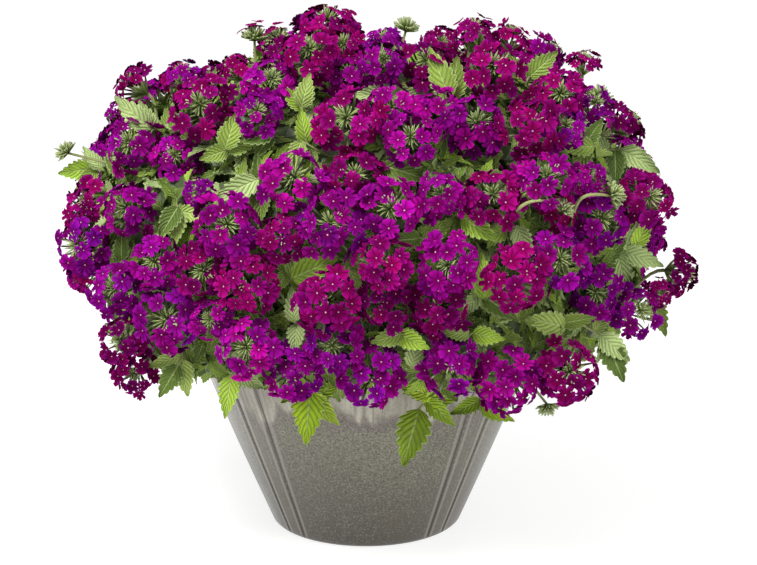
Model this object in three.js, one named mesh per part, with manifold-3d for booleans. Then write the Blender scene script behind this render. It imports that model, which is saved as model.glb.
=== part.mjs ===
// A potted verbena in full flower: a glazed stoneware pot, its soil, leafy shoots that stand in the
// soil, and the bunches of blooms that the shoots carry. Millimetres, +Z up, the origin in the
// middle of the pot's underside, and the plant's best side towards -Y.

import * as THREE from 'three';
import { mergeVertices } from 'three/addons/utils/BufferGeometryUtils.js';
import Module from 'manifold-3d';

const wasm = await Module();
wasm.setup();

// ---------------------------------------------------------------- driving dimensions

const GAP = 0.3; // air between two pieces that touch

const POT_HEIGHT = 180;
const RIM_RADIUS = 150;
const FOOT_RADIUS = 78;
const WALL_BULGE = 1.2; // how far the wall stands out of a straight cone, halfway up
const WALL_THICKNESS = 8;
const FLOOR_THICKNESS = 10;
const FOOT_ROUNDING = 2.4; // its height, and half of its depth
const RIM_ROUNDING = 3;
const GROOVE_DEPTH = 1.4;

const SOIL_EDGE_HEIGHT = 160;
const SOIL_MIDDLE_HEIGHT = 166;
const HOLE_DEPTH = 22;

const STEM_RADIUS = 2.4; // to the corners of the square section
const BRANCH_RADIUS = 2.2;
const TWIG_RADIUS = 1.2;

const LEAF_THICKNESS = 1.5; // at the midrib
const PEDUNCLE = 24; // the last stretch of a bent branch, straight under its bunch
const STALK_GAP = 0.6; // between the end of a branch and the underside of its bloom
const ROOM = 0.4; // how much a part is fattened to test that it keeps clear of others

// The mound that the middles of the blooms lie on: half its width, half its depth, its height over
// and under its widest level, and how square its outline is (2 would be an ellipsoid).
const MOUND = { across: 238, deep: 222, rise: 195, hang: 110, level: 215, power: 2.4 };

// The front drawing is a perspective of the plant, DRAWING.width units wide and DRAWING.height
// high, counted from its upper left corner. It is seen from EYE, looking DRAWING.tilt degrees
// down, and the eye is DRAWING.focal units in front of the sheet.
const DRAWING = { width: 757, height: 565, focal: 1700, tilt: 13 };
const EYE = new THREE.Vector3(10, -1352, 511);

// ---------------------------------------------------------------- the planting plan

// Each shoot stands in the soil and carries one or two bunches of blooms. A bloom is
// [x, y, width] on the front drawing, and one that is seen from its side has a fourth number, the
// direction that it faces, counter-clockwise from the right. Blooms that follow each other in a
// bunch touch. A sprig of leaves is [x, y, [direction, length], ...] with a pair for each leaf, and
// a green head in bud is [x, y, width, direction].
const FRONT_SHOOTS = [
  {
    name: 'west_high',
    bunches: [[[136, 82, 44, 150], [114, 117, 30, 190], [131, 150, 56], [182, 160, 46]]],
    sprigs: [[92, 168, [190, 34], [225, 30], [130, 28], [60, 28]], [150, 128, [138, 44], [112, 34]]],
    buds: [[64, 150, 19, 140]],
  },
  {
    name: 'west',
    bunches: [
      [[85, 247, 58], [93, 196, 44, 180], [132, 212, 56]],
      [[118, 290, 54], [158, 262, 52], [205, 270, 54]],
    ],
    sprigs: [[178, 206, [240, 34], [268, 34], [350, 30]], [120, 262, [75, 30], [20, 26]]],
    buds: [],
  },
  {
    name: 'west_low',
    bunches: [[[136, 372, 42], [122, 342, 46], [170, 318, 62], [212, 320, 42]]],
    sprigs: [[178, 366, [240, 36], [282, 36], [200, 34], [345, 36], [40, 30]]],
    buds: [],
  },
  {
    name: 'north_west',
    bunches: [
      [[182, 74, 36, 90], [203, 110, 64], [236, 68, 38, 120]],
      [[258, 115, 44], [272, 84, 52], [280, 53, 42, 140], [308, 58, 54]],
    ],
    sprigs: [[224, 150, [70, 38], [15, 34], [200, 30]], [274, 132, [195, 36], [235, 30]]],
    buds: [[254, 34, 22, 95], [276, 36, 22, 110]],
  },
  {
    name: 'crown',
    bunches: [
      [[328, 27, 60, 90], [344, 50, 42], [350, 80, 50]],
      [[385, 43, 40, 90], [382, 66, 46], [424, 68, 52], [440, 47, 38]],
    ],
    sprigs: [[300, 108, [75, 34], [140, 30], [290, 36]], [388, 93, [185, 34], [0, 36]]],
    buds: [[407, 25, 22, 80]],
  },
  {
    name: 'front_high',
    bunches: [
      [[350, 125, 64], [392, 113, 52], [412, 140, 52], [436, 112, 48]],
      [[356, 178, 58], [388, 212, 60], [385, 262, 54]],
    ],
    sprigs: [[384, 165, [342, 42], [295, 28], [35, 34]], [300, 140, [250, 30], [100, 34], [40, 30]]],
    buds: [],
  },
  {
    name: 'north_east',
    bunches: [
      [[473, 32, 44, 100], [512, 38, 38, 80], [545, 53, 42, 40], [586, 64, 36, 75]],
      [[492, 72, 58], [477, 130, 62]],
    ],
    sprigs: [[449, 98, [112, 50], [82, 42], [205, 30]], [530, 76, [42, 36], [130, 34], [215, 34]]],
    buds: [],
  },
  {
    name: 'east_high',
    bunches: [[[528, 130, 60], [562, 132, 46], [556, 99, 56], [591, 108, 42], [627, 125, 44, 20]]],
    sprigs: [[596, 146, [185, 34], [240, 36], [55, 32]], [622, 150, [330, 42], [270, 34], [150, 28]]],
    buds: [[600, 94, 24, 70]],
  },
  {
    name: 'front_east',
    bunches: [
      [[441, 198, 48], [490, 200, 58], [545, 178, 56]],
      [[384, 302, 52], [440, 305, 58], [449, 266, 56]],
    ],
    sprigs: [
      [462, 216, [325, 40], [275, 34], [205, 32]],
      [420, 238, [172, 32], [32, 34], [290, 32]],
      [518, 226, [278, 36], [310, 34], [200, 30]],
      [486, 300, [95, 42], [325, 40], [235, 30]],
    ],
    buds: [[567, 206, 19, 75]],
  },
  {
    name: 'front_west',
    bunches: [
      [[292, 180, 62], [332, 226, 62], [282, 238, 48]],
      [[199, 193, 30], [230, 228, 64], [247, 282, 58]],
    ],
    sprigs: [
      [258, 178, [205, 46], [95, 28], [270, 32]],
      [292, 280, [25, 50], [95, 34], [205, 28]],
      [350, 262, [350, 28], [300, 34]],
    ],
    buds: [],
  },
  {
    name: 'east',
    bunches: [
      [[588, 180, 34], [593, 221, 58], [646, 199, 54]],
      [[590, 290, 54], [635, 316, 50], [660, 292, 28], [681, 270, 44, 0]],
    ],
    sprigs: [[636, 248, [65, 34], [110, 34], [340, 40], [285, 36]], [656, 300, [45, 32], [292, 38]]],
    buds: [[613, 192, 24, 60]],
  },
  {
    name: 'east_low',
    bunches: [[[517, 279, 64], [557, 260, 60]]],
    sprigs: [[568, 328, [168, 42], [10, 32], [250, 30]], [606, 338, [292, 46], [318, 38], [70, 26]]],
    buds: [],
  },
  {
    name: 'front_low',
    bunches: [
      [[326, 302, 62], [334, 345, 52], [370, 375, 64]],
      [[250, 347, 58], [292, 372, 56]],
    ],
    sprigs: [
      [404, 334, [195, 32], [335, 34], [60, 24]],
      [294, 322, [95, 34], [265, 30]],
      [308, 402, [30, 36], [315, 40], [266, 54], [215, 34]],
      [230, 376, [262, 40], [330, 30]],
    ],
    buds: [],
  },
  {
    name: 'east_front',
    bunches: [[[447, 363, 60], [508, 383, 62], [569, 370, 60]]],
    sprigs: [
      [418, 410, [254, 58], [20, 42], [318, 36], [160, 34]],
      [480, 406, [335, 36], [205, 32], [30, 26]],
      [470, 334, [150, 28], [350, 32]],
      [410, 368, [75, 36], [182, 30], [2, 32]],
    ],
    buds: [[548, 409, 19, 280]],
  },
];

// Over the top and round the back each bunch is a ring of blooms, [azimuth, height, how many], on
// the mound.
const BACK_SHOOTS = [
  { name: 'back_east', bunches: [[30, 196, 4], [16, 260, 5]], sprigs: [[4, 216], [34, 246]] },
  { name: 'back_north_east', bunches: [[68, 190, 3], [47, 292, 4]], sprigs: [[46, 226], [66, 244]] },
  { name: 'back', bunches: [[92, 266, 3], [82, 346, 4]], sprigs: [[90, 222], [100, 310]] },
  { name: 'back_north_west', bunches: [[124, 190, 3], [114, 296, 4]], sprigs: [[136, 230], [112, 244]] },
  { name: 'back_west', bunches: [[150, 196, 4], [164, 258, 5]], sprigs: [[176, 216], [146, 246]] },
  { name: 'top_east', bunches: [[42, 370, 4]], sprigs: [[10, 372], [60, 350]] },
  { name: 'top', bunches: [[112, 388, 3]], sprigs: [[60, 400], [86, 388]] },
  { name: 'top_west', bunches: [[140, 326, 4]], sprigs: [[176, 352], [124, 350]] },
];

// ---------------------------------------------------------------- colours

const glazedStoneware = new THREE.MeshStandardMaterial({ color: 0x8f8d80, roughness: 0.45, metalness: 0 });
const pottingSoil = new THREE.MeshStandardMaterial({ color: 0x2d211a, roughness: 0.95, metalness: 0 });
const leafGreen = new THREE.MeshStandardMaterial({ color: 0x5f7a34, roughness: 0.6, metalness: 0 });
const petalPurple = new THREE.MeshStandardMaterial({ color: 0x8c0f80, roughness: 0.65, metalness: 0 });

// ---------------------------------------------------------------- small helpers

const degrees = THREE.MathUtils.degToRad;
const UP = new THREE.Vector3(0, 0, 1);

/** A seeded stream of even random numbers from 0 to 1. */
function randomSource(seed) {
  let state = seed;
  return () => {
    state = (state + 0x6d2b79f5) | 0;
    let mixed = Math.imul(state ^ (state >>> 15), 1 | state);
    mixed = (mixed + Math.imul(mixed ^ (mixed >>> 7), 61 | mixed)) ^ mixed;
    return ((mixed ^ (mixed >>> 14)) >>> 0) / 4294967296;
  };
}

/** Turns a closed three.js geometry into a solid that can be joined and cut. */
function solidOf(geometry) {
  const bare = geometry.clone();
  bare.deleteAttribute('normal');
  bare.deleteAttribute('uv');
  const welded = mergeVertices(bare, 1e-4);
  const mesh = new wasm.Mesh({
    numProp: 3,
    vertProperties: new Float32Array(welded.attributes.position.array),
    triVerts: new Uint32Array(welded.index.array),
  });
  return new wasm.Manifold(mesh);
}

/** Turns a solid back into a named mesh of the given material. */
function meshOf(name, solid, material) {
  const { vertProperties, triVerts } = solid.getMesh();
  const geometry = new THREE.BufferGeometry();
  geometry.setAttribute('position', new THREE.BufferAttribute(vertProperties, 3));
  geometry.setIndex(new THREE.BufferAttribute(triVerts, 1));
  const mesh = new THREE.Mesh(geometry, material);
  mesh.name = name;
  return mesh;
}

/** A geometry from a list of points and a list of triangles that index them. */
function geometryOf(points, triangles) {
  const geometry = new THREE.BufferGeometry();
  geometry.setFromPoints(points);
  geometry.setIndex(triangles.flat());
  return geometry;
}

/** Stands a shape that was made along +Z at a place, along an axis, turned about it by a spin. */
function stand(geometry, place, axis, spin = 0) {
  const turn = new THREE.Quaternion().setFromUnitVectors(UP, axis.clone().normalize());
  const roll = new THREE.Quaternion().setFromAxisAngle(UP, spin);
  return geometry.applyQuaternion(turn.multiply(roll)).translate(place.x, place.y, place.z);
}

/** The largest single body of a solid: loose scraps are dropped. */
function largestBody(solid) {
  const bodies = solid.decompose();
  return bodies.reduce((best, body) => (body.volume() > best.volume() ? body : best));
}

/** Whether two solids share any space. */
function meet(first, second) {
  const a = first.boundingBox();
  const b = second.boundingBox();
  const apart = [0, 1, 2].some((k) => a.max[k] < b.min[k] || b.max[k] < a.min[k]);
  return !apart && first.intersect(second).volume() > 0;
}

/** Cuts the solids of a list that reach into another out of it. */
function cutClear(solid, cutters) {
  const reached = cutters.filter((cutter) => meet(solid, cutter));
  return reached.reduce((rest, cutter) => rest.subtract(cutter), solid);
}

// ---------------------------------------------------------------- pot and soil

/** The angles of the pot's upright edges: four pairs of grooves, and plain wall between. */
function potColumns() {
  const columns = [];
  for (let quarter = 0; quarter < 4; quarter += 1) {
    const middle = 45 + 90 * quarter;
    for (const groove of [-6.2, 6.2]) {
      for (const [offset, share] of [[-1.5, 0], [0, 1], [1.5, 0]]) {
        const angle = degrees(middle + groove + offset);
        columns.push({ angle, depth: share * GROOVE_DEPTH, inside: offset === 0 });
      }
    }
    for (let step = 1; step <= 5; step += 1) {
      columns.push({ angle: degrees(middle + 7.7 + step * 12.43), depth: 0, inside: true });
    }
  }
  return columns;
}

/** The pot's outer radius at a height. */
function wallRadius(height) {
  const t = height / POT_HEIGHT;
  return FOOT_RADIUS + (RIM_RADIUS - FOOT_RADIUS) * t + 4 * WALL_BULGE * t * (1 - t);
}

/** A closed body of rings of points round the Z axis, from a pole up or round to another pole. */
function ringBody(columns, rings, firstPole, lastPole) {
  const points = [];
  const triangles = [];
  const count = columns.length;
  for (const { radius, height, grooved } of rings) {
    for (const { angle, depth } of columns) {
      const reach = radius - (grooved ? depth : 0);
      points.push(new THREE.Vector3(reach * Math.cos(angle), reach * Math.sin(angle), height));
    }
  }
  const first = points.push(new THREE.Vector3(0, 0, firstPole)) - 1;
  const last = points.push(new THREE.Vector3(0, 0, lastPole)) - 1;
  for (let c = 0; c < count; c += 1) {
    const next = (c + 1) % count;
    triangles.push([first, next, c]);
    for (let r = 0; r + 1 < rings.length; r += 1) {
      const low = r * count;
      const high = low + count;
      triangles.push([low + c, low + next, high + next], [low + c, high + next, high + c]);
    }
    const top = (rings.length - 1) * count;
    triangles.push([last, top + c, top + next]);
  }
  return geometryOf(points, triangles);
}

const COLUMNS = potColumns();
const INNER_FLOOR_RADIUS = wallRadius(FLOOR_THICKNESS) - WALL_THICKNESS;
const INNER_RIM_RADIUS = RIM_RADIUS - WALL_THICKNESS;

function makePot() {
  const rings = [
    { radius: wallRadius(FOOT_ROUNDING) - 2 * FOOT_ROUNDING, height: 0 },
    { radius: wallRadius(FOOT_ROUNDING), height: FOOT_ROUNDING, grooved: true },
    { radius: wallRadius(POT_HEIGHT / 2), height: POT_HEIGHT / 2, grooved: true },
    { radius: RIM_RADIUS, height: POT_HEIGHT - RIM_ROUNDING, grooved: true },
    { radius: RIM_RADIUS - RIM_ROUNDING, height: POT_HEIGHT },
    { radius: INNER_RIM_RADIUS, height: POT_HEIGHT - RIM_ROUNDING },
    { radius: INNER_FLOOR_RADIUS, height: FLOOR_THICKNESS },
  ];
  return solidOf(ringBody(COLUMNS, rings, 0, FLOOR_THICKNESS));
}

/** The inside radius of the pot at a height. */
function innerRadius(height) {
  const t = (height - FLOOR_THICKNESS) / (POT_HEIGHT - RIM_ROUNDING - FLOOR_THICKNESS);
  return INNER_FLOOR_RADIUS + (INNER_RIM_RADIUS - INNER_FLOOR_RADIUS) * t;
}

function makeSoil(roots) {
  const rings = [
    { radius: innerRadius(FLOOR_THICKNESS) - 2 * GAP, height: FLOOR_THICKNESS + GAP },
    { radius: innerRadius(SOIL_EDGE_HEIGHT) - 2 * GAP, height: SOIL_EDGE_HEIGHT },
    { radius: 0.55 * innerRadius(SOIL_EDGE_HEIGHT), height: SOIL_MIDDLE_HEIGHT - 1 },
  ];
  const inner = COLUMNS.filter((column) => column.inside);
  const heap = solidOf(ringBody(inner, rings, FLOOR_THICKNESS + GAP, SOIL_MIDDLE_HEIGHT));
  const side = STEM_RADIUS * Math.SQRT2 + 2 * GAP;
  const holes = roots.map((root) => {
    const hole = new THREE.BoxGeometry(side, side, 2 * HOLE_DEPTH).rotateZ(Math.atan2(root.y, root.x));
    return solidOf(hole.translate(root.x, root.y, SOIL_EDGE_HEIGHT));
  });
  return heap.subtract(wasm.Manifold.union(holes));
}

// ---------------------------------------------------------------- the mound and the front drawing

const TILT = degrees(DRAWING.tilt);
const SIGHT = new THREE.Vector3(0, Math.cos(TILT), -Math.sin(TILT));
const SHEET_UP = new THREE.Vector3(0, Math.sin(TILT), Math.cos(TILT));
const SHEET_RIGHT = new THREE.Vector3(1, 0, 0);

/** Less than 0 inside the mound shrunk by an inset, 0 on it and more outside. */
function moundValue(point, inset) {
  const { across, deep, rise, hang, level, power } = MOUND;
  const half = point.z > level ? rise : hang;
  const terms = [point.x / (across - inset), point.y / (deep - inset), (point.z - level) / (half - inset)];
  return terms.reduce((sum, term) => sum + Math.abs(term) ** power, -1);
}

/** The way out of the mound at a point. */
function moundNormal(point) {
  const step = 0.5;
  const at = moundValue(point, 0);
  const slope = [[step, 0, 0], [0, step, 0], [0, 0, step]].map(
    ([x, y, z]) => moundValue(point.clone().add(new THREE.Vector3(x, y, z)), 0) - at,
  );
  return new THREE.Vector3(...slope).normalize();
}

/** The point where the sight line through a place on the drawing first meets the inset mound. */
function fromDrawing(x, y, inset) {
  const line = SIGHT.clone().multiplyScalar(DRAWING.focal);
  line.addScaledVector(SHEET_RIGHT, x - DRAWING.width / 2);
  line.addScaledVector(SHEET_UP, DRAWING.height / 2 - y);
  line.normalize();
  let nearest = { value: Infinity, along: 0 };
  for (let along = 1050; along < 1500; along += 1) {
    const value = moundValue(EYE.clone().addScaledVector(line, along), inset);
    if (value < nearest.value) {
      nearest = { value, along };
    }
    if (value < 0) {
      break;
    }
  }
  return { place: EYE.clone().addScaledVector(line, nearest.along), line, along: nearest.along };
}

/** The point of the mound at an azimuth in degrees and a height. */
function onMound(azimuth, height) {
  const { across, deep, rise, hang, level, power } = MOUND;
  const part = Math.abs(height - level) / (height > level ? rise : hang);
  const x = Math.cos(degrees(azimuth));
  const y = Math.sin(degrees(azimuth));
  const size = (Math.abs(x / across) ** power + Math.abs(y / deep) ** power) ** (1 / power);
  const radius = (1 - part ** power) ** (1 / power) / size;
  return new THREE.Vector3(radius * x, radius * y, height);
}

/** Three directions at a place of the mound: sideways, upwards along it, and out of it. */
function moundFrame(point) {
  const out = moundNormal(point);
  const right = new THREE.Vector3().crossVectors(UP, out).normalize();
  return { right, up: new THREE.Vector3().crossVectors(out, right), out };
}

const SHEET_FRAME = { right: SHEET_RIGHT, up: SHEET_UP, out: SIGHT.clone().negate() };

/** A direction given as an angle on a frame's face, tipped out of the face by a share. */
function directionIn(frame, angle, tip) {
  const direction = frame.right.clone().multiplyScalar(Math.cos(degrees(angle)));
  direction.addScaledVector(frame.up, Math.sin(degrees(angle)));
  return direction.addScaledVector(frame.out, tip).normalize();
}

// ---------------------------------------------------------------- where the blooms settle

const random = randomSource(7);
const FACING = { out: 0.55, viewer: 0.65, up: 0.12 }; // shares of three ways in a bloom's axis
const SIDE_DOME = 0.18; // how far the middle of a dome seen from its side lies before its base
const BACK_BLOOM_RADIUS = 24;
const BACK_SINK = 13; // how deep in the mound the bunches over the top and round the back lie
const BACK_RING = 0.9; // share of their radii that the blooms of such a bunch lie apart

/** Every bloom of the plan, with its place, radius, facing axis and the bunch that it is in. */
function planBlooms() {
  const blooms = [];
  for (const shoot of FRONT_SHOOTS) {
    shoot.bunches.forEach((bunch, number) => {
      bunch.forEach(([x, y, width, facing], order) => {
        const { place, line, along } = fromDrawing(x, y, 0);
        const radius = (width / 2) * (along / DRAWING.focal);
        const axis = moundNormal(place).multiplyScalar(FACING.out);
        axis.addScaledVector(line, -FACING.viewer).addScaledVector(UP, FACING.up);
        if (facing !== undefined) {
          axis.copy(directionIn(SHEET_FRAME, facing, 0.3));
          place.addScaledVector(axis, -SIDE_DOME * radius);
        }
        const sight = place.clone().sub(EYE);
        blooms.push({
          bunch: `${shoot.name}_${number}`, order, place, radius, axis: axis.normalize(),
          along: sight.length(), line: sight.clone().normalize(),
        });
      });
    });
  }
  for (const shoot of BACK_SHOOTS) {
    shoot.bunches.forEach(([azimuth, height, blooming], number) => {
      const surface = onMound(azimuth, height);
      const frame = moundFrame(surface);
      const middle = surface.clone().addScaledVector(frame.out, -BACK_SINK);
      const start = 360 * random();
      const ring = (BACK_RING * BACK_BLOOM_RADIUS) / Math.sin(Math.PI / blooming);
      for (let order = 0; order < blooming; order += 1) {
        const radius = BACK_BLOOM_RADIUS * (0.92 + 0.16 * random());
        const place = middle.clone();
        place.addScaledVector(directionIn(frame, start + (360 / blooming) * order, 0), ring);
        const axis = moundNormal(place);
        blooms.push({ bunch: `${shoot.name}_${number}`, order, place, radius, axis, home: place.clone() });
      }
    });
  }
  return blooms;
}

const TOUCHING = 0.98; // share of their two radii that touching blooms of a bunch lie apart
const CROWDED = 0.95; // and the least share that any two blooms of a bunch lie apart
const BUNCH_CLEARANCE = 0.5;
const SETTLING_PASSES = 120;

/** Moves blooms apart and the blooms of a bunch together, mostly along their sight lines. */
function settle(blooms) {
  for (let pass = 0; pass < SETTLING_PASSES; pass += 1) {
    blooms.forEach((first, i) => {
      for (let j = i + 1; j < blooms.length; j += 1) {
        const second = blooms[j];
        const way = second.place.clone().sub(first.place);
        const apart = way.length();
        const reach = first.radius + second.radius;
        const together = first.bunch === second.bunch;
        const least = together ? CROWDED * reach : reach + BUNCH_CLEARANCE;
        const linked = together && second.order === first.order + 1;
        let push = Math.max(0, least - apart);
        if (linked && apart > TOUCHING * reach) {
          push = TOUCHING * reach - apart;
        }
        way.multiplyScalar(push / (2 * apart));
        first.place.sub(way);
        second.place.add(way);
      }
    });
    for (const bloom of blooms) {
      if (bloom.line) {
        const seen = bloom.place.clone().sub(EYE);
        const along = seen.dot(bloom.line);
        const aside = seen.addScaledVector(bloom.line, -along);
        bloom.place.addScaledVector(aside, -0.35).addScaledVector(bloom.line, 0.03 * (bloom.along - along));
      } else {
        bloom.place.lerp(bloom.home, 0.05);
      }
    }
  }
  return blooms;
}

// ---------------------------------------------------------------- blooms

// How far the marks of a bloom's florets are tilted from its axis, in degrees: the petals' tips
// over, beside and under the middle of an outer floret, and the folds between the florets.
const TILTS = { upper: 34, fold: 40, side: 64, floret: 70, rim: 94 };
const EYE_LEVEL = 0.84; // a floret's eye, its petals' tips and the creases between florets,
const TIP_LEVEL = 1.02; // as shares of the bloom's radius
const CREASE_LEVEL = 0.8;
const UNDERSIDE = 0.75; // how deep the bloom's underside reaches
const CORE_RADIUS = 2.2; // of the core that joins two blooms of a bunch
const SURELY_JOINED = 0.7; // share of their radii that blooms lie apart when they need no core

/** The direction that is tilted from +Z by an angle, towards an azimuth. */
function tilted(tilt, azimuth) {
  const ray = new THREE.Vector3(Math.sin(degrees(tilt)), 0, Math.cos(degrees(tilt)));
  return ray.applyAxisAngle(UP, degrees(azimuth));
}

/**
 * A domed bloom of six five-petalled florets, along +Z: one on top and five round it, laid out as
 * the upper faces of a dodecahedron. Each petal is a ridge from the sunken eye of its floret out
 * to its tip, where it meets a petal of the next floret or stands over the bloom's rim.
 */
function bloomGeometry(radius) {
  const points = [];
  const triangles = [];
  const add = (direction, level) => points.push(direction.clone().setLength(level * radius)) - 1;
  const fifths = [0, 1, 2, 3, 4];
  const fold = fifths.map((k) => add(tilted(TILTS.fold, 36 + 72 * k), CREASE_LEVEL));
  const upper = fifths.map((k) => add(tilted(TILTS.upper, 72 * k), TIP_LEVEL));
  const side = fifths.map((k) => add(tilted(TILTS.side, 36 + 72 * k), TIP_LEVEL));
  const rim = fifths.map((k) => add(tilted(TILTS.rim, 36 + 72 * k), TIP_LEVEL));
  const floret = (centre, outline) => {
    const eye = add(centre, EYE_LEVEL);
    outline.forEach((here, k) => triangles.push([eye, here, outline[(k + 1) % outline.length]]));
  };
  floret(UP, fifths.flatMap((k) => [upper[k], fold[k]]));
  const stalk = points.push(new THREE.Vector3(0, 0, -UNDERSIDE * radius)) - 1;
  for (const k of fifths) {
    const last = (k + 4) % 5;
    const outline = [fold[k], upper[k], fold[last], side[last], rim[last], rim[k], side[k]];
    floret(tilted(TILTS.floret, 72 * k), outline);
    triangles.push([stalk, rim[k], rim[last]]);
  }
  return geometryOf(points, triangles);
}

/** The lowest point of a bloom, where its stalk meets it. */
function stalkEnd(bloom) {
  return bloom.place.clone().addScaledVector(bloom.axis, -UNDERSIDE * bloom.radius);
}

/** The blooms of a bunch, each grown by a margin, with a core from each bloom to the next. */
function bunchSolid(blooms, margin) {
  const solids = blooms.map((bloom) => {
    const geometry = bloomGeometry(bloom.radius + margin);
    return solidOf(stand(geometry, bloom.place, bloom.axis, bloom.spin));
  });
  for (let k = 1; k < blooms.length; k += 1) {
    const ends = [blooms[k - 1], blooms[k]];
    const reach = ends[0].radius + ends[1].radius;
    if (ends[0].place.distanceTo(ends[1].place) > SURELY_JOINED * reach) {
      const path = ends.map((end) => end.place.clone().addScaledVector(end.axis, -0.1 * end.radius));
      solids.push(stemSolid(path, CORE_RADIUS + margin, 3));
    }
  }
  return wasm.Manifold.union(solids);
}

// ---------------------------------------------------------------- leaves, stems and buds

// Half of a leaf's outline, from base to tip, as shares of its length: teeth and the notches
// between them. The other half mirrors it.
const LEAF_EDGE = [[0.34, 0.28], [0.5, 0.2], [0.68, 0.27]];
const LEAF_MIDDLE = 0.5;
const LEAF_ROOT = 0.5; // how deep a leaf is sunk into its twig
const LEAF_FOLD = 0.25; // how steeply the halves rise from the midrib, and how far the tip droops,
const LEAF_DROOP = 0.16; // as a share of the length

/** A toothed blade along +X with its face up, folded at the midrib and arched to the tip. */
function leafGeometry(length, thickness) {
  const droop = (x) => -LEAF_DROOP * x * x;
  const points = [];
  const put = (x, y, z) => points.push(new THREE.Vector3(x, y, z).multiplyScalar(length)) - 1;
  const base = put(0, 0, 0);
  const tip = put(1, 0, droop(1));
  const edges = [1, -1].map((side) => (
    LEAF_EDGE.map(([x, y]) => put(x, side * y, droop(x) + LEAF_FOLD * y))));
  const triangles = [];
  for (const face of [1, -1]) {
    const middle = put(LEAF_MIDDLE, 0, droop(LEAF_MIDDLE) + (face * thickness) / (2 * length));
    edges.forEach((edge, side) => {
      const outline = [base, ...edge, tip];
      const flip = (face === 1) === (side === 1);
      for (let k = 1; k < outline.length; k += 1) {
        triangles.push(flip ? [middle, outline[k - 1], outline[k]] : [middle, outline[k], outline[k - 1]]);
      }
    });
  }
  return geometryOf(points, triangles);
}

/** A leaf from a place on its stem, along a direction, facing a way. */
function leafSolid(place, direction, facing, length, thickness) {
  const along = direction.clone().normalize();
  const side = new THREE.Vector3().crossVectors(facing, along).normalize();
  const face = new THREE.Vector3().crossVectors(along, side);
  const turn = new THREE.Matrix4().makeBasis(along, side, face);
  turn.setPosition(place.clone().addScaledVector(along, -LEAF_ROOT));
  return solidOf(leafGeometry(length, thickness).applyMatrix4(turn));
}

/** A stem of few sides through a list of points that lie in one plane. */
function stemSolid(path, radius, sides) {
  const last = path.length - 1;
  const chord = path[last].clone().sub(path[0]);
  const aside = chord.clone().cross(path[1].clone().sub(path[0]));
  if (aside.length() < 1e-3) {
    aside.crossVectors(chord, Math.abs(chord.z) > Math.abs(chord.x) ? SHEET_RIGHT : UP);
  }
  aside.normalize();
  const points = path.flatMap((point, k) => {
    const way = path[Math.min(k + 1, last)].clone().sub(path[Math.max(k - 1, 0)]);
    const over = way.cross(aside).normalize();
    return [...Array(sides).keys()].map((side) => {
      const angle = (2 * Math.PI * (side + 0.5)) / sides;
      const corner = point.clone().addScaledVector(aside, radius * Math.cos(angle));
      return corner.addScaledVector(over, radius * Math.sin(angle));
    });
  });
  const triangles = [];
  for (let side = 0; side < sides; side += 1) {
    const next = (side + 1) % sides;
    for (let ring = 0; ring < last * sides; ring += sides) {
      triangles.push([ring + side, ring + next, ring + sides + next]);
      triangles.push([ring + side, ring + sides + next, ring + sides + side]);
    }
    if (side > 1) {
      triangles.push([0, side, side - 1], [last * sides, last * sides + side - 1, last * sides + side]);
    }
  }
  return solidOf(geometryOf(points, triangles));
}

// A green head in bud: its tips and notches, [from the axis, up], and its middle, as shares of its
// radius.
const BUD = { tip: [1, 0.55], notch: [0.62, 0], middle: 0.3 };

/** A green head in bud: a fan of pointed calyces, along +Z from its stalk. */
function budSolid(place, axis, radius) {
  const points = [new THREE.Vector3(0, 0, -radius), new THREE.Vector3(0, 0, BUD.middle * radius)];
  const size = new THREE.Vector3(radius, radius, radius);
  const triangles = [];
  const count = 12;
  for (let k = 0; k < count; k += 1) {
    const angle = (2 * Math.PI * k) / count;
    const [reach, rise] = k % 2 ? BUD.notch : BUD.tip;
    points.push(new THREE.Vector3(reach * Math.cos(angle), reach * Math.sin(angle), rise).multiply(size));
    const here = 2 + k;
    const next = 2 + ((k + 1) % count);
    triangles.push([0, next, here], [1, here, next]);
  }
  return solidOf(stand(geometryOf(points, triangles), place, axis));
}

/** Points along an arch from one place to another that leaves towards a third. */
function arch(from, towards, to, steps) {
  return new THREE.QuadraticBezierCurve3(from, towards, to).getPoints(steps);
}

/** Where a shoot leaves the soil: low shoots near the rim, high ones near the middle. */
function rootOf(target) {
  const azimuth = Math.atan2(target.y, target.x);
  const high = THREE.MathUtils.clamp((target.z - 150) / 200, 0, 1);
  const radius = 112 - 74 * high;
  return new THREE.Vector3(radius * Math.cos(azimuth), radius * Math.sin(azimuth), SOIL_EDGE_HEIGHT);
}

/** The mean of a list of points. */
function meanOf(points) {
  return points.reduce((sum, point) => sum.add(point), new THREE.Vector3()).divideScalar(points.length);
}

/** A stem as it is, and fattened by the air that others keep from it. */
function stemPart(path, radius, sides) {
  return { path, solid: stemSolid(path, radius, sides), fat: stemSolid(path, radius + ROOM, sides) };
}

/** The path of a shoot's stem from its hole in the soil to its heart, bent aside and upwards. */
function stemPath({ root, heart }, [aside, rise]) {
  const foot = root.clone().setZ(SOIL_EDGE_HEIGHT - HOLE_DEPTH + 2);
  const collar = root.clone().setZ(SOIL_MIDDLE_HEIGHT + 4);
  if (aside === 0 && rise === 0) {
    return [foot, collar, heart];
  }
  const across = new THREE.Vector3(-root.y, root.x, 0).normalize();
  const middle = collar.clone().lerp(heart, 0.5).addScaledVector(across, aside).addScaledVector(UP, rise);
  return [foot, collar, middle, heart];
}

/** The end of each branch of a shoot: under the bloom that is nearest to the middle of its bunch. */
function branchEnd(blooms) {
  const ends = blooms.map(stalkEnd);
  const middle = meanOf(ends);
  const distances = ends.map((end) => end.distanceTo(middle));
  const nearest = distances.indexOf(Math.min(...distances));
  const { axis } = blooms[nearest];
  return { place: ends[nearest].addScaledVector(axis, -STALK_GAP), axis };
}

// ---------------------------------------------------------------- keeping clear

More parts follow.
